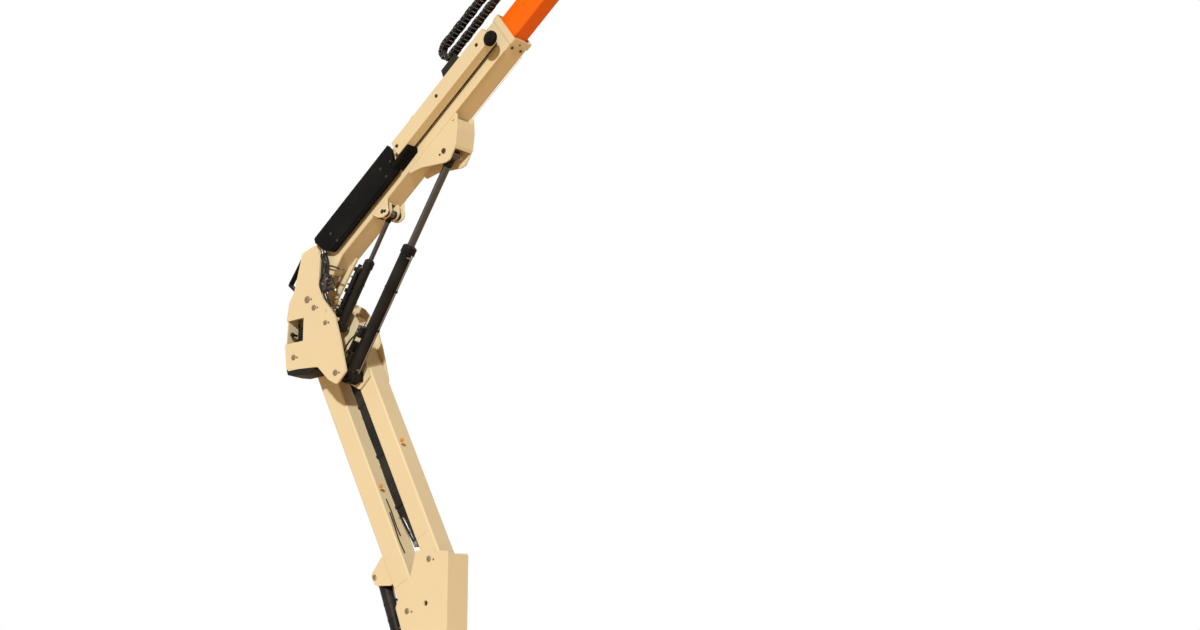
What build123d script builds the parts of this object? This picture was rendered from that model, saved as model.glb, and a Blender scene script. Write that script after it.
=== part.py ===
"""Articulating boom lift: a wheeled chassis, a slewing turntable, two stacked riser linkages, an upper
upright that carries a telescopic main boom to one side, a jib and a railed platform.

Millimetres, +X forward (the way the boom points), +Z up, Y across; the boom is offset towards -Y.
The origin lies on the ground under the slewing axis.
"""

import os
from math import atan2, cos, degrees, hypot, radians, sin

from build123d import *

os.makedirs("parts", exist_ok=True)

# ---- driving dimensions ------------------------------------------------------------------------

# Wheels and axles
wheel_radius = 419
wheel_width = 305
overall_width = 2340
wheelbase = 2340
axle_x = wheelbase / 2
wheel_y = (overall_width - wheel_width) / 2
hub_face_y = 800
spindle_radius = 55
running_fit = 0.08
kingpin_y = 700

# Turntable
deck_low = 860
deck_high = 900
channel_half = 270
hood_low = deck_high + 0.3
hood_high = 1480
hood_rear_x = -1160
hood_front_x = 640
hood_outer_y = 1080
hood_wall = 6

# Riser linkages: the lower pair leans forward, the upper pair leans back by the same angle
riser_angle = 62.4
lower_length = 2780
upper_length = 2910
mid_rear_pin = (420, 3950)
upper_pair_offset = (270, 464)
lower_pin_drop = (77, -360)
lower_pair_offset = (160, -160)
riser_half = 110
rear_tube_depth = 230
front_tube_depth = 210
tube_shift = 28

# Upright plates
mid_half = 135
mid_plate = 20
upright_plate = 20
upright_near_y = -450
upright_middle_y = -140
upright_far_y = 140
pin_radius = 28
boom_pin = 35
lift_pin = 30
master_pin = 24
tower_pin = 26
small_pin = 18
keeper_half = 11

# Main boom, given in its own frame: along the boom from its pivot, and across it
boom_angle = 36.87
boom_pivot_rise = (170, 563)
boom_y = -240
boom_width = 240
boom_low = 101
boom_high = 467
boom_wall = 8
boom_rear = 300
boom_front = 3395
fly_width = 180
fly_low = 145
fly_high = 433
fly_wall = 8
fly_rear = 1900
pad_gap = 0.3
jib_pivot_along = 5200
jib_pivot_across = 150

# Boom cylinders: base pins from the boom pivot in X and Z, rod pins in the boom's frame
lift_base = (437, -808)
lift_tip = (2122, -105)
master_base = (272, -280)
master_tip = (1198, 36)

# Tower cylinder: head-end pin on the rear link's ear, rod pin in the mid upright
tower_ear = (-463, 360)
tower_foot = (-30, -720)

# Jib and platform
jib_angle = 15
jib_length = 1240
jib_start = (300, 40)
jib_pair_offset = (46, -215)
jib_cylinder_reach = 150
jib_cylinder_angle = -92.4
jib_cylinder_tip = (683, -150)
slave_base = (-850, 120)
slave_tip = (-20, 170)
rotator_reach = 240
rotator_pin = 32
platform_gap = 300
platform_depth = 760
platform_width = 1830
platform_drop = 430
rail_height = 1100
rail_tube = 19
mid_rail = 15

# ---- places worked out from them ---------------------------------------------------------------


def turned(place, along, across):
    """The X and Z of a point given along and across a place, which is (x, z, angle in degrees)."""
    x, z, angle = place
    tilt = radians(angle)
    return (x + along * cos(tilt) - across * sin(tilt), z + along * sin(tilt) + across * cos(tilt))


def shifted(spot, step):
    """A point moved by a step in X and Z."""
    return (spot[0] + step[0], spot[1] + step[1])


def aimed(start, end):
    """The place at start that looks towards end."""
    return (start[0], start[1], degrees(atan2(end[1] - start[1], end[0] - start[0])))


def span(start, end):
    """The distance between two points."""
    return hypot(end[0] - start[0], end[1] - start[1])


level = (0, 0, 0)
mid_front_pin = shifted(mid_rear_pin, upper_pair_offset)
mid_lower_pin = shifted(mid_rear_pin, lower_pin_drop)
mid_link_pin = shifted(mid_lower_pin, lower_pair_offset)
base_pin = turned((*mid_lower_pin, riser_angle), -lower_length, 0)
base_link_pin = shifted(base_pin, lower_pair_offset)
top_rear_pin = turned((*mid_rear_pin, 180 - riser_angle), upper_length, 0)
top_front_pin = shifted(top_rear_pin, upper_pair_offset)
boom_pivot = shifted(top_rear_pin, boom_pivot_rise)
boom = (*boom_pivot, boom_angle)
lift_base_pin = shifted(boom_pivot, lift_base)
master_base_pin = shifted(boom_pivot, master_base)
lift_tip_pin = turned(boom, *lift_tip)
master_tip_pin = turned(boom, *master_tip)
tower_ear_pin = shifted(mid_rear_pin, tower_ear)
tower_foot_pin = shifted(mid_rear_pin, tower_foot)
lower_place = (*base_pin, riser_angle)
rear_place = (*mid_rear_pin, 180 - riser_angle)
front_place = (*mid_front_pin, 180 - riser_angle)
jib_pivot = turned(boom, jib_pivot_along, jib_pivot_across)
slave_base_pin = turned((*jib_pivot, boom_angle), *slave_base)
slave_tip_pin = shifted(jib_pivot, slave_tip)
jib_pin = shifted(jib_pivot, jib_start)
jib_link_pin = shifted(jib_pin, jib_pair_offset)
jib = (*jib_pin, jib_angle)
jib_end = turned(jib, jib_length, 0)
jib_link_end = shifted(jib_end, jib_pair_offset)
jib_foot_pin = turned((*jib_pin, jib_cylinder_angle), jib_cylinder_reach, 0)
jib_tip_pin = turned(jib, *jib_cylinder_tip)
rotator_x = jib_end[0] + rotator_reach
platform_x = rotator_x + platform_gap
floor_z = jib_end[1] - platform_drop

# ---- ways of making the pieces -----------------------------------------------------------------


def side_plane(place, y):
    """The plane of a side outline at one y: its own X runs along the place, its normal is -Y."""
    x, z, angle = place
    tilt = radians(angle)
    return Plane(origin=(x, y, z), x_dir=(cos(tilt), 0, sin(tilt)), z_dir=(0, -1, 0))


def slab(place, corners, y_low, y_high, radius=0, mode=Mode.ADD):
    """A plate cut to a side outline, filling y_low to y_high, with rounded corners."""
    with BuildSketch(side_plane(place, y_high)) as outline:
        with BuildLine():
            if radius:
                FilletPolyline(*corners, radius=radius, close=True)
            else:
                Polyline(*corners, close=True)
        make_face()
    extrude(outline.sketch, amount=y_high - y_low, mode=mode)


def disc(place, spot, radius, y_low, y_high, mode=Mode.ADD):
    """A round boss, pin or bore across the machine."""
    with BuildSketch(side_plane(place, y_high)) as outline:
        with Locations(spot):
            Circle(radius)
    extrude(outline.sketch, amount=y_high - y_low, mode=mode)


def bar(place, start, stop, low, high, y_low, y_high, mode=Mode.ADD):
    """A straight block lying along a place."""
    slab(place, [(start, low), (stop, low), (stop, high), (start, high)], y_low, y_high, mode=mode)


def box_tube(place, start, stop, low, high, y_middle, width, wall, corner):
    """A rectangular tube along a place, open at both ends."""
    x, z = turned(place, start, (low + high) / 2)
    tilt = radians(place[2])
    section = Plane(origin=(x, y_middle, z), x_dir=(0, 1, 0), z_dir=(cos(tilt), 0, sin(tilt)))
    with BuildSketch(section) as skin:
        RectangleRounded(width, high - low, corner)
        RectangleRounded(width - 2 * wall, high - low - 2 * wall, corner - wall, mode=Mode.SUBTRACT)
    extrude(skin.sketch, amount=stop - start)


def upright_bar(x, y, z_low, z_high, radius, mode=Mode.ADD):
    """A round bar or bore that stands upright."""
    with BuildSketch(Plane.XY.offset(z_low)) as outline:
        with Locations((x, y)):
            Circle(radius)
    extrude(outline.sketch, amount=z_high - z_low, mode=mode)


def block(x_low, x_high, y_low, y_high, z_low, z_high, mode=Mode.ADD):
    """A square-cornered block between limits on each axis."""
    with BuildSketch(Plane.XY.offset(z_low)) as outline:
        with Locations(((x_low + x_high) / 2, (y_low + y_high) / 2)):
            Rectangle(x_high - x_low, y_high - y_low)
    extrude(outline.sketch, amount=z_high - z_low, mode=mode)


def finish(piece, label):
    """Names a finished piece and writes it out."""
    piece.part.label = label
    export_step(piece.part, f"parts/{label}.step")


def keeper(spot, y_low, radius):
    """The narrow keeper plate that locks a pin, flat on the near plate's outer face."""
    slab(
        (*spot, 90),
        [(-6, -keeper_half), (radius + 62, -keeper_half), (radius + 62, keeper_half), (-6, keeper_half)],
        y_low - 6,
        y_low,
        radius=5,
    )


def cylinder(name, start, end, y, barrel_length, barrel_radius, rod_radius, closed, pin, gap):
    """A hydraulic cylinder: a hollow barrel on the pin at start, and a rod whose eye reaches end.

    closed is the shortest distance between the two pins and gap the room between the eyes' cheeks.
    """
    place = aimed(start, end)
    reach = span(start, end)
    eye = barrel_radius * 1.12
    eye_half = gap / 2 - 8
    bore = barrel_radius - 10
    bore_start = eye + 6
    tilt = radians(place[2])
    axis = Plane(origin=(start[0], y, start[1]), x_dir=(0, 1, 0), z_dir=(cos(tilt), 0, sin(tilt)))
    # Turned steps of barrel and rod: (start, length, radius, added or cut)
    barrel_steps = [
        (eye * 0.6, barrel_length - eye * 0.6, barrel_radius, Mode.ADD),
        (barrel_length - 46, 46, barrel_radius + 7, Mode.ADD),
        (bore_start, barrel_length - 40 - bore_start, bore, Mode.SUBTRACT),
        (barrel_length - 60, 80, rod_radius + 0.3, Mode.SUBTRACT),
    ]
    inner = reach - closed + bore_start + 14
    rod_steps = [
        (inner, reach - inner - rod_radius * 0.6, rod_radius, Mode.ADD),
        (inner, 24, bore - 0.3, Mode.ADD),
    ]
    with BuildPart() as barrel:
        disc(place, (0, 0), eye, y - eye_half, y + eye_half)
        for step_start, length, radius, mode in barrel_steps:
            with BuildSketch(axis.offset(step_start)) as round_step:
                Circle(radius)
            extrude(round_step.sketch, amount=length, mode=mode)
        disc(place, (0, 0), pin + running_fit, y - gap, y + gap, mode=Mode.SUBTRACT)
    finish(barrel, f"{name}_barrel")
    with BuildPart() as rod:
        for step_start, length, radius, mode in rod_steps:
            with BuildSketch(axis.offset(step_start)) as round_step:
                Circle(radius)
            extrude(round_step.sketch, amount=length, mode=mode)
        disc(place, (reach, 0), rod_radius * 1.4, y - rod_radius - 3, y + rod_radius + 3)
        disc(place, (reach, 0), rod_radius * 0.7, y - rod_radius - 8, y + rod_radius + 8)
    finish(rod, f"{name}_rod")


# ---- chassis -----------------------------------------------------------------------------------

chassis_half = 330
frame_end = 1390
lug_bore = 22
lug_x = 1425
lug_y = 240
lug_half = 55
lug_low = 548
lug_high = 572

with BuildPart() as chassis_frame:
    chassis_side = [
        (-frame_end, 500),
        (-frame_end, 640),
        (-1130, 735),
        (1130, 735),
        (frame_end, 640),
        (frame_end, 500),
        (1280, 470),
        (1060, 470),
        (900, 385),
        (-900, 385),
        (-1060, 470),
        (-1280, 470),
    ]
    slab(level, chassis_side, -chassis_half, chassis_half, radius=20)
    for side in (-1, 1):
        slab(
            level,
            [(-560, 420), (560, 420), (420, 700), (-420, 700)],
            min(side * chassis_half, side * 560),
            max(side * chassis_half, side * 560),
            radius=30,
        )
    upright_bar(0, 0, 730, 760, 400)
    for end in (-1, 1):
        for side in (-1, 1):
            x_low, x_high = sorted((end * (frame_end - 20), end * lug_x))
            block(x_low, x_high, side * lug_y - lug_half, side * lug_y + lug_half, lug_low, lug_high)
            upright_bar(end * lug_x, side * lug_y, lug_low, lug_high, lug_half)
            upright_bar(end * lug_x, side * lug_y, lug_low, lug_high, lug_bore, mode=Mode.SUBTRACT)
finish(chassis_frame, "chassis_frame")

with BuildPart() as swing_bearing:
    upright_bar(0, 0, 760, 830, 360)
    upright_bar(0, 0, 750, 840, 240, mode=Mode.SUBTRACT)
finish(swing_bearing, "swing_bearing")


def spindle(x, side):
    """The stub axle and flange that a wheel turns on."""
    inner, outer = sorted((side * 740, side * hub_face_y))
    disc(level, (x, wheel_radius), 84, inner, outer)
    inner, outer = sorted((side * hub_face_y, side * (wheel_y + 60)))
    disc(level, (x, wheel_radius), spindle_radius, inner, outer)


with BuildPart() as drive_axle:
    slab(
        level,
        [(axle_x - 95, 345), (axle_x + 95, 345), (axle_x + 95, 470), (axle_x - 95, 470)],
        -650,
        650,
        radius=12,
    )
    for side in (-1, 1):
        inner, outer = sorted((side * 560, side * 745))
        disc(level, (axle_x, wheel_radius), 135, inner, outer)
        spindle(axle_x, side)
finish(drive_axle, "drive_axle")

fork_low = 300
fork_high = 538
fork_plate = 26

with BuildPart() as steer_axle:
    slab(
        level,
        [(-axle_x - 85, 355), (-axle_x + 85, 355), (-axle_x + 85, 470), (-axle_x - 85, 470)],
        -610,
        610,
        radius=12,
    )
    for side in (-1, 1):
        inner, outer = sorted((side * 560, side * (kingpin_y + 36)))
        slab(
            level,
            [(-axle_x - 70, fork_low), (-axle_x + 70, fork_low), (-axle_x + 70, fork_high), (-axle_x - 70, fork_high)],
            inner,
            outer,
            radius=10,
        )
        inner, outer = sorted((side * 612, side * (kingpin_y + 80)))
        bar(
            level,
            -axle_x - 90,
            -axle_x + 90,
            fork_low + fork_plate,
            fork_high - fork_plate,
            inner,
            outer,
            mode=Mode.SUBTRACT,
        )
        upright_bar(-axle_x, side * kingpin_y, fork_low - 5, fork_high + 5, 26 + running_fit, mode=Mode.SUBTRACT)
    disc(level, (-axle_x - 130, 412), 38, -240, 240)
    disc(level, (-axle_x - 130, 412), 18, -430, 430)
    bar(level, -axle_x - 130, -axle_x - 80, 380, 444, -60, 60)
finish(steer_axle, "steer_axle")

for side, side_name in ((-1, "right"), (1, "left")):
    with BuildPart() as knuckle:
        inner, outer = sorted((side * (kingpin_y - 58), side * 745))
        slab(
            level,
            [
                (-axle_x - 60, fork_low + fork_plate + 3),
                (-axle_x + 60, fork_low + fork_plate + 3),
                (-axle_x + 60, fork_high - fork_plate - 3),
                (-axle_x - 60, fork_high - fork_plate - 3),
            ],
            inner,
            outer,
            radius=14,
        )
        upright_bar(-axle_x, side * kingpin_y, fork_low - 8, fork_high + 8, 26)
        spindle(-axle_x, side)
    finish(knuckle, f"knuckle_{side_name}")

# Wheel sections from the hub face outwards: (distance from the wheel's middle plane, radius)
tyre_section = [
    (-120, 250),
    (-146, 300),
    (-152, 360),
    (-128, 412),
    (-100, wheel_radius),
    (100, wheel_radius),
    (128, 412),
    (152, 360),
    (146, 300),
    (120, 250),
]
rim_section = [
    (-126, 249.5),
    (-126, 225),
    (-70, 222),
    (-70, 120),
    (-wheel_y + hub_face_y + 4, 110),
    (-wheel_y + hub_face_y + 4, spindle_radius + running_fit),
    (70, spindle_radius + running_fit),
    (70, 100),
    (10, 110),
    (-20, 130),
    (-34, 222),
    (126, 225),
    (126, 249.5),
]

for x, axle_name in ((axle_x, "drive"), (-axle_x, "steer")):
    for side, side_name in ((-1, "right"), (1, "left")):
        spin = Plane(origin=(x, side * wheel_y, wheel_radius), x_dir=(0, side, 0), z_dir=(1, 0, 0))
        with BuildPart() as tyre:
            with BuildSketch(spin) as section:
                with BuildLine():
                    Polyline(*tyre_section, close=True)
                make_face()
            revolve(section.sketch, axis=Axis((x, 0, wheel_radius), (0, 1, 0)))
        finish(tyre, f"tyre_{axle_name}_{side_name}")
        with BuildPart() as rim:
            with BuildSketch(spin) as section:
                with BuildLine():
                    Polyline(*rim_section, close=True)
                make_face()
            revolve(section.sketch, axis=Axis((x, 0, wheel_radius), (0, 1, 0)))
        finish(rim, f"rim_{axle_name}_{side_name}")

# ---- turntable ---------------------------------------------------------------------------------

with BuildPart() as turntable_deck:
    with BuildSketch(Plane.XY.offset(deck_low)) as outline:
        with BuildLine():
            FilletPolyline(
                (-1330, -1060),
                (560, -1060),
                (700, -900),
                (700, 900),
                (560, 1060),
                (-1330, 1060),
                radius=60,
                close=True,
            )
        make_face()
    extrude(outline.sketch, amount=deck_high - deck_low)
    upright_bar(0, 0, 830.3, deck_low, 345)
finish(turntable_deck, "turntable_deck")

with BuildPart() as counterweight:
    with BuildSketch(Plane.XY.offset(deck_high)) as outline:
        with BuildLine():
            tail = Line((-1180, -1060), (-1180, 1060))
            Line(tail @ 1, (-1330, 1060))
            ThreePointArc((-1330, 1060), (-1560, 0), (-1330, -1060))
            Line((-1330, -1060), tail @ 0)
        make_face()
    extrude(outline.sketch, amount=560)
    fillet(counterweight.edges().group_by(Axis.Z)[-1], radius=30)
finish(counterweight, "counterweight")

with BuildPart() as tower_base:
    for side in (-1, 1):
        inner, outer = sorted((side * 206, side * 226))
        slab(
            level,
            [
                (base_pin[0] - 150, deck_high),
                (base_pin[0] - 90, base_pin[1] + 90),
                (base_pin[0] + 60, base_pin[1] + 110),
                (base_link_pin[0] + 330, deck_high),
            ],
            inner,
            outer,
            radius=12,
        )
    for spot in (base_pin, base_link_pin):
        disc(level, spot, pin_radius, -236, 236)
finish(tower_base, "tower_base")

with BuildPart() as engine_block:
    block(-860, -160, 340, 860, deck_high, 1400)
finish(engine_block, "engine_block")

with BuildPart() as ground_console:
    block(645, 690, -880, -560, deck_high, 1240)
    slab(
        level,
        [(640, 1000), (690, 1000), (740, 1180), (740, 1240), (640, 1240)],
        -860,
        -580,
        radius=10,
    )
finish(ground_console, "ground_console")

hinge_y = channel_half - 14
hinge_z = hood_high + 14
hinge_pin = 9
hinge_spots = (hood_rear_x + 300, hood_front_x - 300)


def rod_along(x_low, x_high, y, z, radius, mode=Mode.ADD):
    """A round bar or bore lying along X."""
    with BuildSketch(Plane.YZ.offset(x_low)) as outline:
        with Locations((y, z)):
            Circle(radius)
    extrude(outline.sketch, amount=x_high - x_low, mode=mode)


for side, side_name in ((-1, "right"), (1, "left")):
    with BuildPart() as channel_wall:
        y_low, y_high = sorted((side * (channel_half - 18), side * (channel_half - 10)))
        block(hood_rear_x + 10, hood_front_x - 10, y_low, y_high, deck_high, hood_high - 6)
        for x in hinge_spots:
            for step in (-70, 46):
                block(x + step, x + step + 24, y_low, y_high, hood_high - 10, hinge_z)
                rod_along(x + step, x + step + 24, side * hinge_y, hinge_z, 16)
            rod_along(x - 70, x + 70, side * hinge_y, hinge_z, hinge_pin)
    finish(channel_wall, f"channel_wall_{side_name}")
    with BuildPart() as hood:
        section_plane = Plane(origin=(hood_rear_x, 0, 0), x_dir=(0, side, 0), z_dir=(side, 0, 0))
        run = (hood_front_x - hood_rear_x) * side
        # Skins of the hood's section: (inset, corner radius, extra reach at the open sides)
        for inset, corner, open_reach, mode in ((0, 90, 0, Mode.ADD), (hood_wall, 84, 30, Mode.SUBTRACT)):
            with BuildSketch(section_plane.offset(inset * side)) as skin:
                with BuildLine():
                    FilletPolyline(
                        (channel_half - open_reach, hood_low - open_reach),
                        (channel_half - open_reach, hood_high - inset),
                        (hood_outer_y - 190, hood_high - inset),
                        (hood_outer_y - inset, hood_high - 200),
                        (hood_outer_y - inset, hood_low - open_reach),
                        radius=[0.01, 0.01, corner, corner, 0.01],
                        close=True,
                    )
                make_face()
            extrude(skin.sketch, amount=run - 2 * inset * side, mode=mode)
        for x in hinge_spots:
            y_low, y_high = sorted((side * hinge_y, side * (channel_half + 70)))
            block(x - 40, x + 40, y_low, y_high, hood_high - 2, hood_high + 8)
            rod_along(x - 40, x + 40, side * hinge_y, hinge_z, 16)
            rod_along(x - 50, x + 50, side * hinge_y, hinge_z, hinge_pin + running_fit, mode=Mode.SUBTRACT)
    finish(hood, f"hood_{side_name}")

# ---- lower riser -------------------------------------------------------------------------------

lower_half = 141
ear_thick = 20
fork_reach = 740

with BuildPart() as lower_riser:
    box_tube(lower_place, 150, lower_length - fork_reach, -115, 115, 0, 2 * lower_half, 10, 18)
    for side in (-1, 1):
        inner, outer = sorted((side * lower_half, side * (lower_half + ear_thick)))
        slab(
            lower_place,
            [
                (lower_length - fork_reach - 260, -100),
                (lower_length + 85, -80),
                (lower_length + 85, 80),
                (lower_length - fork_reach - 260, 100),
            ],
            inner,
            outer,
            radius=60,
        )
        slab(lower_place, [(-80, -80), (420, -105), (420, 105), (-80, 80)], inner, outer, radius=60)
        disc(lower_place, (lower_length, 0), pin_radius + running_fit, inner - 2, outer + 2, mode=Mode.SUBTRACT)
        disc(lower_place, (0, 0), pin_radius + running_fit, inner - 2, outer + 2, mode=Mode.SUBTRACT)
    bar(lower_place, 140, 150, -113, 113, -lower_half, lower_half)
finish(lower_riser, "lower_riser")

with BuildPart() as lower_links:
    link_place = (*base_link_pin, riser_angle)
    for side in (-1, 1):
        inner, outer = sorted((side * 170, side * 190))
        bar(link_place, 0, lower_length, -30, 30, inner, outer)
        for along in (0, lower_length):
            disc(link_place, (along, 0), 46, inner, outer)
            disc(link_place, (along, 0), pin_radius + running_fit, inner - 5, outer + 5, mode=Mode.SUBTRACT)
finish(lower_links, "lower_links")

# ---- mid upright -------------------------------------------------------------------------------

mid_place = (*mid_rear_pin, 0)
mid_front = 513
mid_bottom = -800
# Side outline from the rear pin, in X and Z
mid_outline = [
    (-60, mid_bottom),
    (-130, -690),
    (-70, -560),
    (-76, -170),
    (-159, 40),
    (-110, 170),
    (30, 335),
    (90, 560),
    (mid_front, 518),
    (mid_front, mid_bottom + 60),
    (mid_front - 90, mid_bottom),
]

with BuildPart() as mid_upright:
    for side in (-1, 1):
        inner, outer = sorted((side * (mid_half - mid_plate), side * mid_half))
        slab(mid_place, mid_outline, inner, outer, radius=28)
    bar(mid_place, mid_front - 16, mid_front, mid_bottom + 90, 500, -mid_half + 1, mid_half - 1)
    bar(mid_place, 40, mid_front - 100, mid_bottom, mid_bottom + 16, -mid_half + 1, mid_half - 1)
    for spot in (mid_rear_pin, mid_front_pin):
        disc(level, spot, pin_radius, -mid_half - 6, mid_half + 6)
    for spot in (mid_lower_pin, mid_link_pin):
        disc(level, spot, pin_radius, -200, -mid_half + 10)
        disc(level, spot, pin_radius, mid_half - 10, 200)
    for side in (-1, 1):
        inner, outer = sorted((side * 50, side * (mid_half - 10)))
        disc(level, tower_foot_pin, 34, inner, outer)
    disc(mid_place, (233, 55), 26, -mid_half - 5, -mid_half + mid_plate + 5, mode=Mode.SUBTRACT)
finish(mid_upright, "mid_upright")

# ---- upper riser -------------------------------------------------------------------------------

tube_end = 95
front_tube_foot = 60
hose_radius = 11
hose_top = 330
hose_bottom = 620

with BuildPart() as upper_riser_rear:
    box_tube(
        rear_place,
        tube_end,
        upper_length - tube_end,
        -rear_tube_depth / 2 - tube_shift,
        rear_tube_depth / 2 - tube_shift,
        0,
        2 * riser_half,
        10,
        18,
    )
    for side in (-1, 1):
        inner, outer = sorted((side * (riser_half - 24), side * riser_half))
        for along, sign in ((0, 1), (upper_length, -1)):
            slab(
                rear_place,
                [
                    (along - sign * 62, -62),
                    (along + sign * 300, -rear_tube_depth / 2 - tube_shift + 18),
                    (along + sign * 300, rear_tube_depth / 2 - tube_shift - 18),
                    (along - sign * 62, 62),
                ],
                inner,
                outer,
                radius=50,
            )
        inner, outer = sorted((side * 86, side * 106))
        ear = turned((0, 0, riser_angle - 180), *tower_ear)
        slab(
            rear_place,
            [
                (ear[0] - 210, 60),
                (ear[0] - 70, ear[1] + 44),
                (ear[0] + 50, ear[1] + 52),
                (ear[0] + 150, 60),
            ],
            inner,
            outer,
            radius=40,
        )
    disc(rear_place, ear, tower_pin, -126, 126)
    for along in (0, upper_length):
        disc(rear_place, (along, 0), pin_radius + running_fit, -200, 200, mode=Mode.SUBTRACT)
finish(upper_riser_rear, "upper_riser_rear")

with BuildPart() as upper_riser_front:
    box_tube(
        front_place,
        -front_tube_foot,
        upper_length - tube_end,
        -front_tube_depth / 2 - tube_shift / 2,
        front_tube_depth / 2 - tube_shift / 2,
        0,
        2 * riser_half,
        10,
        18,
    )
    for side in (-1, 1):
        inner, outer = sorted((side * (riser_half - 24), side * riser_half))
        for along, sign in ((0, 1), (upper_length, -1)):
            slab(
                front_place,
                [
                    (along - sign * 58, -58),
                    (along + sign * 280, -front_tube_depth / 2),
                    (along + sign * 280, front_tube_depth / 2 - tube_shift),
                    (along - sign * 58, 58),
                ],
                inner,
                outer,
                radius=46,
            )
    for along in (0, upper_length):
        disc(front_place, (along, 0), pin_radius + running_fit, -200, 200, mode=Mode.SUBTRACT)
finish(upper_riser_front, "upper_riser_front")

with BuildPart() as riser_hoses:
    hose_face = front_tube_depth / 2 - tube_shift / 2
    hose_span = upper_length - hose_top - hose_bottom
    for y, across in ((-92, 15), (-92, 38), (-64, 15), (-64, 38), (-36, 15), (-8, 15)):
        x, z = turned(front_place, hose_bottom, hose_face + across + 1)
        tilt = radians(front_place[2])
        hose_plane = Plane(origin=(x, y, z), x_dir=(0, 1, 0), z_dir=(cos(tilt), 0, sin(tilt)))
        with BuildSketch(hose_plane) as hose:
            Circle(hose_radius)
        extrude(hose.sketch, amount=hose_span)
    for share in (0.05, 0.35, 0.65, 0.95):
        along = hose_bottom + hose_span * share
        bar(front_place, along, along + 36, hose_face, hose_face + 56, -108, 12)
finish(riser_hoses, "riser_hoses")

# ---- upper upright -----------------------------------------------------------------------------

upright_place = (*boom_pivot, 0)
boom_near = boom_y - boom_width / 2
# Side outline of the near plate from the boom pivot, in X and Z
near_outline = [
    (85, 545),
    (166, 458),
    (153, 127),
    (217, -17),
    (397, -220),
    (493, -487),
    (585, -810),
    (456, -925),
    (341, -863),
    (178, -709),
    (-272, -678),
    (-306, -412),
    (-288, -126),
    (-264, 14),
    (-200, 105),
    (-97, 490),
]
inner_outline = [
    (70, 62),
    (217, -17),
    (397, -220),
    (493, -487),
    (585, -810),
    (456, -925),
    (341, -863),
    (178, -709),
    (-272, -678),
    (-306, -412),
    (-288, -126),
    (-264, 14),
    (-60, 72),
]

# Pins across the upright: (place, radius)
upright_bores = [
    (boom_pivot, boom_pin),
    (top_front_pin, pin_radius),
    (top_rear_pin, pin_radius),
    (master_base_pin, master_pin),
    (lift_base_pin, lift_pin),
]

with BuildPart() as upper_upright:
    slab(upright_place, near_outline, upright_near_y, upright_near_y + upright_plate, radius=30)
    bar(upright_place, -320, -45, -412, -176, upright_near_y - 5, upright_near_y + upright_plate + 5, mode=Mode.SUBTRACT)
    slab(upright_place, inner_outline, upright_middle_y, upright_middle_y + upright_plate, radius=30)
    slab(upright_place, inner_outline, upright_far_y - upright_plate, upright_far_y, radius=30)
    bar(upright_place, -250, 150, -690, -674, upright_near_y + 2, upright_middle_y + 2)
    slab(
        upright_place,
        [
            (-272, -676),
            (-306, -412),
            (-288, -126),
            (-264, 10),
            (-250, 4),
            (-274, -128),
            (-292, -412),
            (-259, -670),
        ],
        upright_near_y + upright_plate - 2,
        upright_middle_y + 2,
    )
    for spot, radius in upright_bores:
        keeper(spot, upright_near_y, radius)
    for spot, radius in upright_bores:
        disc(level, spot, radius + running_fit, upright_near_y - 8, upright_far_y + 5, mode=Mode.SUBTRACT)
finish(upper_upright, "upper_upright")

with BuildPart() as upright_pins:
    for spot, radius in upright_bores:
        far_end = upright_far_y if spot in (top_rear_pin, top_front_pin) else upright_middle_y + upright_plate
        disc(level, spot, radius, upright_near_y - 4, far_end)
finish(upright_pins, "upright_pins")

with BuildPart() as upright_guard:
    slab(
        upright_place,
        [(-190, 96), (-312, 200), (-302, 224), (-112, 478), (-104, 466), (-292, 214), (-190, 128)],
        upright_near_y + upright_plate,
        boom_near - 14,
    )
finish(upright_guard, "upright_guard")

# ---- main boom ---------------------------------------------------------------------------------

boom_far = boom_y + boom_width / 2
lift_bracket = [
    (1600, boom_low + 4),
    (1815, 0),
    (2060, -205),
    (2120, -228),
    (2262, -172),
    (2379, -50),
    (2474, boom_low + 4),
]
master_bracket = [
    (1090, boom_low + 2),
    (1140, 8),
    (1198, -12),
    (1256, 8),
    (1306, boom_low + 2),
]

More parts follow.
